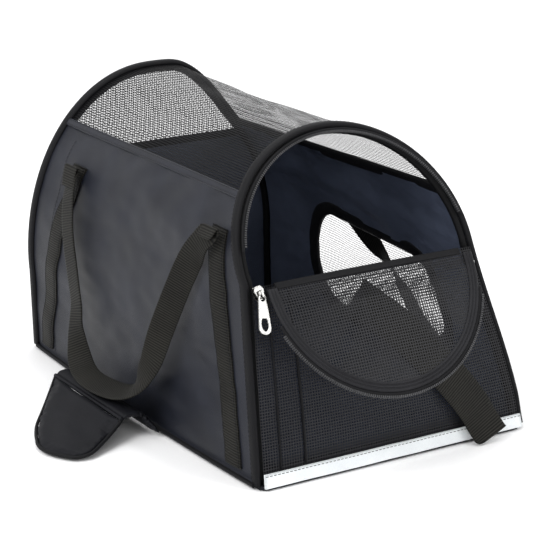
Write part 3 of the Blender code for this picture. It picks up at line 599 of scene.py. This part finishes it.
# ---- top, rear and front nets --------------------------------------------------------------------
def build_top():
    def place(a, b):
        t = lerp(NEAR_SEAM, FAR_SEAM, a)
        fade = 4 * b * (1 - b)
        sag = -0.0050 * fade * 4 * a * (1 - a)
        ripple = 0.0026 * fade * np.clip(a / 0.1, 0, 1) * np.clip((1 - a) / 0.1, 0, 1)
        wave = noise_at(np.stack([a * 0.23, b * 0.10, 0 * a], -1), 0.024, 5)
        return shell(t, b) + outward(t, b) * (sag + ripple * wave - 0.0008)[..., None]

    net = net_object("top_net", place, 92, 160, NET, 0.34)
    on(net, "bag", "net", "top_mesh_panel")
    for name, share, half_a, half_b, node, finish, out_by in (
            ("near_seam_roll", NEAR_SEAM, 0.0042, 0.0022, "near_seam_tape", SHELL_CLOTH, 0.0),
            ("far_seam_band", FAR_SEAM, 0.0075, 0.0022, "far_seam_tape", TAPE, -0.0004)):
        v = np.linspace(0.012, 0.988, 90)
        t = share + 0 * v
        path = shell(t, v) + outward(t, v) * out_by
        side = shell_axes(t, v)[2]
        band = sweep_object(name, path, side, outward(t, v), oval(half_a, half_b, 14, 2.6), finish)
        on(band, "bag", "binding_tape", node)
        for k in (-1, 1):
            row = stitches(f"{name}_stitches_{'a' if k < 0 else 'b'}", path + side * k * half_a * 0.6
                           + outward(t, v) * half_b * 0.86, outward(t, v), THREAD)
            on(row, "bag", "binding_tape")


REAR_CLOTH = 0.203           # the rear end is cloth up to here and net above


def rear_point(x, s, out=0.0):
    base = np.stack([x, 0 * x + HALF_L, 0 * x], -1)
    return base + np.asarray(s)[..., None] * REAR_UP + np.asarray(out)[..., None] * vec(0, 1, 0)


def in_rear(x, s, inset):
    sway = REAR_SWAY * s / (REAR_LEG + REAR_RISE)
    x = np.abs(x - sway)
    half = np.where(s < REAR_LEG, HALF_W, REAR_HALF)
    over = np.clip(s - REAR_LEG, 0, None) / (REAR_RISE - inset)
    return (x / (half - inset)) ** 2 + over ** 2 < 1


def build_rear():
    half, top = 0.150, REAR_LEG + REAR_RISE

    def place(a, b):
        x, s = lerp(-half, half, a), lerp(0.001, top, b)
        puff = 0.006 * np.clip(1 - (x / half) ** 2, 0, 1) * np.sin(pi * np.clip(b, 0, 1))
        return rear_point(x, s, puff - 0.0012 + 0.0010 * noise_at(np.stack([x, 0 * x, s], -1), 0.04, 11))

    def above_cloth(a, b):
        s = lerp(0.001, top, b)
        return in_rear(lerp(-half, half, a), s, 0.003) & (s > REAR_CLOTH - 0.002)

    net = net_object("rear_net", place, 110, 108, NET, 0.26, above_cloth)
    on(net, "bag", "net", "rear_mesh_panel")
    a, s = np.meshgrid(np.linspace(-1, 1, 90), np.linspace(0.0125, REAR_CLOTH, 46), indexing="ij")
    over = np.clip(s - REAR_LEG, 0, None) / REAR_RISE
    x = a * (HALF_W - 0.0022) * np.sqrt(1 - over ** 2) + REAR_SWAY * s / (REAR_LEG + REAR_RISE)
    puff_out = 0.006 * np.clip(1 - (x / half) ** 2, 0, 1) * np.sin(pi * s / top)
    crease = 0.0014 * noise_at(np.stack([x, 0 * x, s], -1), 0.045, 11) * smoothstep(0.012, 0.045, s)
    outer, inner = rear_point(x, s, puff_out + crease - 0.0002), rear_point(x, s, puff_out + crease - 0.0022)
    cloth = slab_object("rear_lower_cloth", outer, inner, [SHELL_CLOTH, LINING], grid_uv(outer))
    on(cloth, "bag", "side_fabric")
    path = (outer[:, -1] + inner[:, -1]) / 2
    hem = sweep_object("rear_cloth_hem", path, np.broadcast_to(REAR_UP, path.shape),
                       np.broadcast_to(vec(0, 1, 0), path.shape), oval(0.0045, 0.0018, 12, 2.6), TAPE)
    on(hem, "bag", "binding_tape")


def lower_edges(s):
    k = s / FOLD_RISE
    half = SHELL_RADIUS * cos(asin(CENTRE_RISE / SHELL_RADIUS))
    return lerp(-HALF_W, ARCH_SWAY - half, k), lerp(HALF_W, ARCH_SWAY + half, k) + leg_push(1 - k)


def lower_point(a, s, out=0.0):
    near, far = lower_edges(s)
    x = lerp(near, far, a)
    base = np.stack([x, 0 * x - HALF_L, 0 * x], -1)
    return base + np.asarray(s)[..., None] * LOWER_UP + np.asarray(out)[..., None] * LOWER_OUT


NET_PUFF = 0.006


def puffed(a, b):
    """How far the lower net stands forward, most towards its far edge."""
    return NET_PUFF * np.sin(pi * np.clip(b, 0, 1)) * 4 * a * (1 - a) * (0.6 + 0.8 * a)


def build_front():
    low, high = 0.012, FOLD_RISE - 0.001

    def place(a, b):
        s = lerp(low, high, b)
        crease = 0.0012 * noise_at(np.stack([a * 0.25, b * 0.16, 0 * a], -1), 0.035, 17)
        return lower_point(lerp(0.012, 0.988, a), s, puffed(a, b) + crease * np.sin(pi * b) - 0.0026)

    net = net_object("front_lower_net", place, 104, 62, FRONT_NET_PAINTED_LIGHT, 0.36)
    on(net, "bag", "net", "front_lower_mesh")
    a = np.linspace(0.010, 0.990, 90)[:, None]
    s = np.linspace(0.0015, 0.0145, 8)[None]
    a, s = np.broadcast_arrays(a, s)
    wave = 0.0007 * noise_at(lower_point(a, s), 0.03, 21)
    outer, inner = lower_point(a, s, 0.0012 + wave), lower_point(a, s, -0.0010 + wave)
    strip = slab_object("front_pale_strip", outer, inner, STRIP, grid_uv(outer))
    on(strip, "bag", "pale_strip", "front_bottom_strip")
    row = stitches("front_strip_stitches", lower_point(a[:, 6], s[:, 6], 0.0013 + wave[:, 6]),
                   np.broadcast_to(LOWER_OUT, (90, 3)), THREAD)
    on(row, "bag", "pale_strip")
    for k, at in enumerate((0.075, 0.165)):
        s_up = np.linspace(0.016, FOLD_RISE - 0.004, 50)
        b_up = (s_up - low) / (high - low)
        path = lower_point(at + 0 * s_up, s_up, puffed(at + 0 * s_up, b_up) - 0.0016)
        seam = cord_object(f"front_net_seam_{k}", path, 0.0011, TAPE, 8, ACROSS)
        on(seam, "bag", "net")


# ---- arches --------------------------------------------------------------------------------------
def build_arches():
    t = np.linspace(0.004, 0.996, 150)
    for name, v0, length, wire, binding, sign in (
            ("front", 0.0, 0.0050, "front_frame_wire", "front_arch_binding", 1),
            ("rear", 1.0, -0.0050, "rear_frame_wire", "rear_arch_binding", -1)):
        v = v0 + run_share(t, length)
        path, out, back = shell(t, v), outward(t, v), shell_axes(t, v)[1]
        body = sweep_object(f"{name}_binding", path + out * 0.0004, back, out,
                            oval(0.0055, 0.0030, 16, 2.4), TAPE)
        on(body, "bag", "binding_tape", binding)
        inner_v = v0 + sign * run_share(t, 0.0062)
        centre = shell(t, inner_v) - out * 0.0052
        sleeve = sweep_object(f"{name}_wire_sleeve", centre, back, out, oval(0.0040, 0.0034, 14), SLEEVE)
        on(sleeve, "bag", "binding_tape", wire)
        row = stitches(f"{name}_binding_stitches", shell(t, v0 + sign * run_share(t, 0.0088)) + out * 0.0026,
                       out, THREAD)
        on(row, "bag", "binding_tape")


# ---- zip -----------------------------------------------------------------------------------------
def arch_point(radius, turn, out=0.0):
    radius, turn, out = np.broadcast_arrays(*[np.asarray(k, float) for k in (radius, turn, out)])
    return (ARCH_CENTRE + radius[..., None] * (np.cos(turn)[..., None] * ACROSS
            + np.sin(turn)[..., None] * ARCH_UP) + out[..., None] * ARCH_OUT)


def opened(p):
    """A point of the closed flap, with the flap hanging open as at rest."""
    d = np.asarray(p) - HINGE
    c, s = cos(CLOSE_TURN), sin(CLOSE_TURN)
    turned = np.stack([d[..., 0], d[..., 1] * c - d[..., 2] * s, d[..., 1] * s + d[..., 2] * c], -1)
    return HINGE + turned


CHAIN_END, RING_FROM = radians(11.5), radians(16.0)     # where the bag's and the flap's rows of teeth begin
PITCH = 0.0021               # of the teeth along the chain
TOOTH_LONG = 0.00132


def teeth(name, r0, r1, half_out, turns, finish, move):
    """Coil teeth: rounded bars standing across the tape."""
    half = TOOTH_LONG / 2 / r1
    pieces = []
    box = quads(2, 4, False, True)
    for turn in turns:
        rings = []
        for r in (r0, r1):
            for da, out in ((-1, -1), (1, -1), (1, 1), (-1, 1)):
                rings.append(arch_point(r, turn + da * half, out * half_out))
        v = move(np.array(rings))
        pieces.append((v, np.concatenate([box, [[3, 2, 1, 0], [4, 5, 6, 7]]])))
    return merge(name, pieces, finish, smooth=False)


def build_zip():
    turns = np.arange(CHAIN_END + 0.01, pi - CHAIN_END - 0.01, PITCH / CHAIN_RADIUS)
    row = teeth("bag_coil", 0.1173, 0.1194, 0.0012, turns, COIL, lambda p: p)
    on(row, "bag", "zip_coil", "bag_zip_teeth")
    turn = np.linspace(CHAIN_END - 0.02, pi - CHAIN_END + 0.02, 120)
    path = arch_point(0.1204, turn)
    radial = unit(path - ARCH_CENTRE)
    normal = np.broadcast_to(ARCH_OUT, path.shape)
    tape = sweep_object("bag_zip_cloth", path, radial, normal, oval(0.0014, 0.0006, 10), TAPE)
    on(tape, "bag", "binding_tape", "bag_zip_tape")


def opened_band(radius, turns):
    """Path, radial and normal vectors of an arc on the open flap."""
    path = arch_point(radius, turns)
    start = opened(path)
    normal = np.broadcast_to(ARCH_OUT, path.shape)
    return start, opened(path + unit(path - ARCH_CENTRE)) - start, opened(path + normal) - start


FLAP_DISH = 0.010
FLAP_EXTRA = radians(2)      # the flap's binding runs this far past a half circle at each end
FLAP_FOLD_HALF = 0.1000


def dished(x, s):
    """How far the flap's cloth stands in from its flat plane, at x across and s above the fold."""
    r = np.hypot(x, s - CENTRE_RISE)
    rim = np.clip(1 - (r / 0.1010) ** 2, 0, 1)
    return FLAP_DISH * rim * np.clip(s / 0.03, 0, 1) * (0.8 + 2.0 * np.clip(x, 0, 0.1))


def flap_point(x, s, out=0.0):
    x, s, out = np.broadcast_arrays(*[np.asarray(k, float) for k in (x, s, out)])
    closed = (FOLD + x[..., None] * ACROSS + s[..., None] * ARCH_UP
              + (out + HINGE_FORWARD * np.clip(1 - s / 0.02, 0, 1) - dished(x, s))[..., None] * ARCH_OUT)
    return opened(closed)


def build_flap():
    low, high, half = 0.004, CENTRE_RISE + 0.1020, 0.1020

    def place(a, b):
        return flap_point(lerp(-half, half, a), lerp(low, high, b))

    def inside(a, b):
        x, s = lerp(-half, half, a), lerp(low, high, b)
        return np.hypot(x, s - CENTRE_RISE) < 0.1020

    net = net_object("flap_net", place, 78, 42, FRONT_NET_PAINTED_LIGHT, 0.34, inside)
    on(net, "flap", "net", "flap_mesh")
    around = np.linspace(-0.0046, 0.0046, 25)
    ridge = 0.0013 + 0.0006 * np.cos(2 * pi * around / 0.0031)
    profile = np.concatenate([np.stack([around, ridge], 1), np.stack([around[::-1], -ridge], 1)])
    turns = np.linspace(-FLAP_EXTRA, pi + FLAP_EXTRA, 120)
    band = sweep_object("flap_ridged_binding", *opened_band(0.1056, turns), profile, FLAP_TAPE)
    on(band, "flap", "binding_tape", "flap_edge_binding")
    turns = np.linspace(RING_FROM, pi - RING_FROM, 90)
    tape = sweep_object("flap_zip_cloth", *opened_band(0.1119, turns), oval(0.0019, 0.0006, 10), TAPE)
    on(tape, "flap", "binding_tape", "flap_zip_tape")
    turns = np.arange(RING_FROM + 0.07, pi - RING_FROM - 0.07, PITCH / CHAIN_RADIUS)
    row = teeth("flap_coil", 0.1136, 0.1157, 0.0012, turns, COIL, opened)
    on(row, "flap", "zip_coil", "flap_zip_teeth")


def build_fold():
    """The cloth strip at the flap's fold, shaped for the flap hanging open as at rest."""
    x = np.linspace(-FLAP_FOLD_HALF, FLAP_FOLD_HALF, 70)
    lower = FOLD + x[:, None] * ACROSS - 0.0045 * LOWER_UP + 0.0018 * LOWER_OUT
    hinge = HINGE + x[:, None] * ACROSS
    upper = flap_point(x, 0.0065, 0.0)
    middle = np.stack([lower, lerp(lower, hinge, 0.5) + 0.0008 * LOWER_OUT, hinge,
                       lerp(hinge, upper, 0.5), upper])
    grid = np.stack([Line(middle[:, k]).at(np.linspace(0, 1, 12)) for k in range(len(x))])
    normal = unit(np.cross(np.gradient(grid, axis=1), np.gradient(grid, axis=0)))
    normal = np.where(normal[..., 1:2] > 0, -normal, normal)
    strip = slab_object("flap_fold_cloth", grid + normal * 0.0007, grid - normal * 0.0007, TAPE,
                        grid_uv(grid))
    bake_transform(strip)
    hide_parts("flap_hinge_tape")


# ---- webbing -------------------------------------------------------------------------------------
STRAP_WIDE, STRAP_THICK = 0.026, 0.0020
STRAPS = {"front": (-0.186, -0.142, 0.222), "rear": (0.198, 0.138, 0.214)}
FAR_DROP = 0.016


def build_strap(side, end):
    sign = -1 if side == "near" else 1
    foot_y, top_y, top_z = STRAPS[end]
    top_z -= FAR_DROP if side == "far" else 0.0
    height = np.linspace(0.010, top_z, 90)[:, None]
    y = foot_y + (top_y - foot_y) * height / top_z
    across = np.linspace(-STRAP_WIDE / 2, STRAP_WIDE / 2, 11)[None]
    t, v = locate(sign, y + across, height + 0 * across)
    crown = STRAP_THICK * (1 - 0.5 * (2 * across / STRAP_WIDE) ** 4) + 0 * height
    if side == "far":
        # the far straps are thicker along their middle
        crown = crown + 0.0016 * smoothstep(0.012, -0.004, np.abs(across))
    outer, inner = cloth_at(t, v, crown + 0.0005), cloth_at(t, v, 0.0003)
    made = slab_object(f"{side}_{end}_webbing", outer, inner, WEBBING, grid_uv(outer))
    on(made, "bag", "webbing", f"{side}_{end}_strap")
    for k, j in (("a", 1), ("b", 9)):
        row = stitches(f"{side}_{end}_webbing_stitches_{k}", cloth_at(t[:, j], v[:, j], crown[:, j] + 0.0007),
                       outward(t[:, j], v[:, j]), THREAD)
        on(row, "bag", "webbing")


NEAR_ENDS = (vec(-0.1436, -0.142, 0.2200), vec(-0.1405, 0.138, 0.2120))
FAR_ENDS = (vec(0.1140, -0.142, 0.2040), vec(0.1206, 0.138, 0.1970))
NEAR_ROUTE = (
    (-0.1500, -0.133, 0.209), (-0.1545, -0.1195, 0.1865), (-0.159, -0.104, 0.1565),
    (-0.165, -0.084, 0.1125), (-0.1715, -0.069, 0.073),
    (-0.179, -0.044, 0.042), (-0.184, 0.004, 0.034), (-0.181, 0.048, 0.037),
    (-0.175, 0.073, 0.064), (-0.169, 0.083, 0.092), (-0.164, 0.100, 0.122),
    (-0.160, 0.115, 0.155), (-0.1530, 0.126, 0.188))
FAR_ROUTE = (
    (0.1200, -0.136, 0.191), (0.1290, -0.126, 0.166), (0.140, -0.116, 0.126),
    (0.150, -0.110, 0.086), (0.158, -0.102, 0.052),
    (0.164, -0.074, 0.034), (0.166, -0.036, 0.046), (0.163, -0.008, 0.074),
    (0.158, 0.0165, 0.101), (0.154, 0.038, 0.116), (0.149, 0.062, 0.134),
    (0.143, 0.090, 0.158), (0.133, 0.114, 0.178))


def ribbon(name, points, looks, width, thick, finish, end_side=None):
    """Flat webbing along a route; looks are the ways that its flat side faces."""
    path, look = curve_through(points, 8), unit(curve_through(looks, 8))
    run = unit(np.gradient(path, axis=0))
    side = unit(np.cross(look, run))
    if end_side is not None:
        for k, share in ((0, 1.0), (1, 0.7), (2, 0.4), (3, 0.15)):
            for i in (k, -1 - k):
                aim = end_side if side[i] @ end_side > 0 else -end_side
                side[i] = unit(lerp(side[i], aim, share))
    up = unit(np.cross(run, side))
    up = np.where(np.sum(up * look, -1, keepdims=True) < 0, -up, up)
    return sweep_object(name, path, side, up, oval(width / 2, thick / 2, 20, 5.0), finish)


def build_handle(side, ends, route, sign):
    points = [ends[0]] + [vec(*p) for p in route] + [ends[1]]
    outward_look, front_leg = vec(-sign, 0, 0), vec(-0.8 * sign, -0.6, 0)
    grip = vec(-0.35 * sign, -0.15, 0.9)
    looks = [outward_look] * 2 + [front_leg] * 3 + [vec(-0.7 * sign, -0.4, 0.5)]
    looks += [grip] * 3 + [vec(-0.8 * sign, 0, 0.5)] + [outward_look] * 5
    made = ribbon(f"{side}_handle_webbing", points, looks, STRAP_WIDE - 0.001, STRAP_THICK, WEBBING,
                  unit(ends[1] - ends[0]))
    on(made, f"{side}_loop", "webbing", f"{side}_handle")


def build_fold_over(side, ends, route):
    """The handle's own ends, rolled over the tops of the stitched straps."""
    sign = -1 if side == "near" else 1
    for k, end, near_by in (("front", ends[0], route[0]), ("rear", ends[1], route[-1])):
        leave = lerp(end, vec(*near_by), 0.62) + vec(sign * 0.0026, 0, 0)
        path = curve_through([end + vec(0, 0, -0.0020), end + vec(sign * 0.0006, 0, 0.0020),
                              end + vec(sign * 0.0022, 0, 0.0034),
                              lerp(end, leave, 0.35) + vec(sign * 0.0024, 0, 0.0010), leave], 6)
        side_way = np.broadcast_to(unit(ends[1] - ends[0]), path.shape)
        up = unit(np.cross(unit(np.gradient(path, axis=0)), side_way))
        made = sweep_object(f"{side}_{k}_fold_over", path, side_way, up,
                            oval(0.0129, 0.0010, 20, 5.0), WEBBING)
        on(made, f"{side}_loop", "webbing")


def build_end_strap():
    base = vec(0, -HALF_L + SETBACK, 0)
    points = [base + x * ACROSS + s * LOWER_UP + off * LOWER_OUT
              for x, s, off in ((-0.030, 0.158, 0.0022), (0.015, 0.118, 0.0080), (0.058, 0.070, 0.0120),
                                (0.083, 0.037, 0.0125), (0.093, 0.0190, 0.0125),
                                (0.0985, 0.0080, 0.0145), (0.101, 0.0022, 0.0175))]
    made = ribbon("front_end_webbing", points, [LOWER_OUT] * 7, 0.036, STRAP_THICK, WEBBING)
    for vertex in made.data.vertices:
        if vertex.co.z < STRAP_THICK:
            vertex.co.z = 0.0004 + (STRAP_THICK - 0.0004) / (1 + (STRAP_THICK - vertex.co.z) / STRAP_THICK)
    on(made, "bag", "webbing", "front_end_strap")


# ---- padded pieces -------------------------------------------------------------------------------
def join_copy(name, nodes):
    """A new mesh with the shapes of the CAD nodes, in the row frame at rest."""
    verts, faces, count = [], [], 0
    for node in nodes:
        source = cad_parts[node]
        place = np.array(source.matrix_world)
        v = np.array([k.co for k in source.data.vertices]) @ place[:3, :3].T + place[:3, 3]
        verts.append(v)
        faces += [[i + count for i in p.vertices] for p in source.data.polygons]
        count += len(v)
    mesh = bpy.data.meshes.new(name)
    mesh.from_pydata(np.concatenate(verts).tolist(), [], faces)
    mesh.update()
    made = bpy.data.objects.new(name, mesh)
    bpy.context.scene.collection.objects.link(made)
    return made


def apply_all(made):
    bpy.context.view_layer.update()
    graph = bpy.context.evaluated_depsgraph_get()
    baked = bpy.data.meshes.new_from_object(made.evaluated_get(graph))
    made.modifiers.clear()
    made.data = baked
    return made


def puff(name, nodes, finish, voxel, pressure, most, seed, grow=0.0008):
    """The nodes' shape as a stuffed cloth piece: a short cloth simulation with air inside."""
    made = join_copy(name, nodes)
    remesh = made.modifiers.new("remesh", "REMESH")
    remesh.mode = "VOXEL"
    remesh.voxel_size = voxel
    apply_all(made)
    before = np.array([v.co for v in made.data.vertices])
    cloth = made.modifiers.new("cloth", "CLOTH")
    cloth.settings.quality = 5
    cloth.settings.mass = 0.15
    cloth.settings.use_pressure = True
    cloth.settings.uniform_pressure_force = pressure
    cloth.settings.effector_weights.gravity = 0.0
    cloth.settings.tension_stiffness = 25.0
    cloth.settings.compression_stiffness = 25.0
    cloth.settings.bending_stiffness = 0.4
    cloth.point_cache.frame_start = 1
    cloth.point_cache.frame_end = 20
    for step in range(1, 21):
        bpy.context.scene.frame_set(step)
    apply_all(made)
    bpy.context.scene.frame_set(1)
    after = np.array([v.co for v in made.data.vertices])
    if len(after) == len(before):
        move = after - before
        size = np.linalg.norm(move, axis=1, keepdims=True)
        after = before + move * np.minimum(1, most / np.maximum(size, 1e-9))
    normal = np.array([v.normal for v in made.data.vertices])
    after = after + normal * (grow + 0.0009 * noise_at(after * vec(1, 0.45, 1), 0.016, seed))[:, None]
    after[:, 2] = np.maximum(after[:, 2], 0.0006)
    made.data.vertices.foreach_set("co", after.astype(np.float32).ravel())
    made.data.materials.clear()
    made.data.materials.append(finish)
    smooth = made.modifiers.new("subdivide", "SUBSURF")
    smooth.levels = smooth.render_levels = 1
    apply_all(made)
    made.data.shade_smooth()
    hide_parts(*nodes)
    return made


CORE_LEFT, CORE_RIGHT, CORE_HIGH = -0.1945, -0.1735, 0.0200
CORE_FRONT, CORE_BACK = -0.058, 0.082
TIP_FRONT, TIP_BACK = vec(-0.252, -0.088, 0), vec(-0.268, -0.012, 0)


def wing_point(k, m):
    """A point of the outer wing's middle layer: k runs from its root to its tip and m from front to back."""
    front = lerp(vec(CORE_LEFT, CORE_FRONT, 0), TIP_FRONT, k)
    back = lerp(vec(CORE_LEFT, CORE_BACK, 0), TIP_BACK, k)
    pinch = 0.012 * max(0.0, (k - 0.7) / 0.3) ** 2 / 0.09
    point = lerp(front, back, pinch + m * (1 - 2 * pinch))
    point[0] -= 0.010 * k * (1 - (2 * m - 1) ** 2)
    point[2] = 0.0012 + (CORE_HIGH - 0.0022) * (1 - k) ** 1.6 + 0.0017
    return point


def wing_outline():
    """Front edge, tip and back edge of the outer wing."""
    points = [wing_point(k, 0) for k in np.linspace(0.02, 1, 16)]
    points += [wing_point(1, m) for m in np.linspace(0.08, 0.92, 12)]
    points += [wing_point(k, 1) for k in np.linspace(1, 0.02, 16)]
    return curve_through(points, 3)


def build_grip():
    core = puff("grip_core_pad", ["grip_cover_core"], GRIP_CLOTH, 0.0024, 2.0, 0.0016, 31)
    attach(core, "near_loop")
    for name, node, body, seed in (("grip_outer_pad", "grip_cover_outer_wing", "outer_wing", 32),
                                   ("grip_inner_pad", "grip_cover_inner_wing", "inner_wing", 33)):
        pad = puff(name, [node], GRIP_CLOTH, 0.0024, 3.0, 0.0018, seed, 0.0002)
        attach(pad, body)
    for k, x in (("outer", CORE_LEFT), ("inner", CORE_RIGHT)):
        y = np.linspace(CORE_FRONT, CORE_BACK, 40)
        path = np.stack([x + 0 * y, y, CORE_HIGH + 0.0016 + 0 * y], 1)
        seam = cord_object(f"grip_{k}_seam", path, 0.0021, GRIP_CLOTH, 12, UP)
        on(seam, "near_loop", "grip_fabric")
    edge = cord_object("grip_outer_piping", wing_outline(), 0.0017, TAPE, 10, UP)
    on(edge, "outer_wing", "grip_fabric")
    dress("hook_strip", HOOK)
    mat = puff("mat_pad", ["base_mat"], MAT_CLOTH, 0.005, 3.0, 0.003, 34)
    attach(mat, "mat")


# ---- stage ---------------------------------------------------------------------------------------
CAMERA_TURN = radians(-31.8353), radians(17.8158)        # azimuth and elevation
CAMERA_AIM, CAMERA_AWAY, CAMERA_LENS = (0.0088, -0.0079, 0.1135), 2.1526, 140.7


def build_stage():
    floor_finish = finish_of("studio_floor", tone(246, 246, 247), tone(252, 252, 252), 0.9,
                             blotch=0.6, depth=0.0)
    rows, cols = 30, 40
    a, b = np.meshgrid(np.linspace(-6, 6, rows), np.linspace(-5, 9, cols), indexing="ij")
    rise = 0.12 * np.clip(b - 3.0, 0, None) ** 2
    points = np.stack([a, b, rise - 0.0012], -1)
    floor = make("studio_floor", points, quads(rows, cols), floor_finish, grid_uv(points))
    world = bpy.data.worlds.new("studio")
    world.use_nodes = True
    sky = world.node_tree.nodes["Background"]
    sky.inputs["Color"].default_value = (1.0, 1.0, 1.0, 1.0)
    sky.inputs["Strength"].default_value = 1.0
    bpy.context.scene.world = world
    for name, place, size, power, aim in (
            ("key", (-1.7, -0.5, 1.9), 1.1, 30, (0, 0, 0.1)),
            ("fill", (1.2, -2.0, 1.3), 0.9, 14, (0, 0, 0.1)),
            ("top", (0.3, 0.6, 2.3), 1.0, 14, (0, 0, 0.1))):
        light = bpy.data.lights.new(name, "AREA")
        light.size = size
        light.energy = power
        lamp = bpy.data.objects.new(name, light)
        lamp.location = place
        lamp.rotation_euler = (Vector(aim) - Vector(place)).to_track_quat("-Z", "Y").to_euler()
        bpy.context.scene.collection.objects.link(lamp)
    lens = bpy.data.cameras.new("camera")
    lens.sensor_width = 36.0
    lens.lens = CAMERA_LENS
    lens.clip_start = 0.05
    camera = bpy.data.objects.new("camera", lens)
    az, el = CAMERA_TURN
    aim = Vector(CAMERA_AIM)
    back = Vector((sin(az) * cos(el), -cos(az) * cos(el), sin(el)))
    camera.location = aim + CAMERA_AWAY * back
    camera.rotation_euler = (-back).to_track_quat("-Z", "Y").to_euler()
    bpy.context.scene.collection.objects.link(camera)
    bpy.context.scene.camera = camera
    bpy.context.scene.view_settings.view_transform = "Standard"


build_near_side()
build_far_side()
build_top()
build_rear()
build_front()
build_arches()
build_zip()
build_flap()
build_fold()
for side_name in ("near", "far"):
    for end_name in ("front", "rear"):
        build_strap(side_name, end_name)
build_handle("near", NEAR_ENDS, NEAR_ROUTE, 1)
build_handle("far", FAR_ENDS, FAR_ROUTE, -1)
build_fold_over("near", NEAR_ENDS, NEAR_ROUTE)
build_fold_over("far", FAR_ENDS, FAR_ROUTE)
build_end_strap()
build_grip()
for node_name, node_finish in (
        ("bottom_panel", BASE_CLOTH), ("base_board", BOARD), ("rear_bottom_strip", TAPE),
        ("near_base_piping", TAPE), ("far_base_piping", TAPE), ("near_zip_stop", NICKEL),
        ("far_zip_stop", NICKEL), ("slider_body", NICKEL), ("pull_tab", NICKEL)):
    dress(node_name, node_finish)
build_stage()
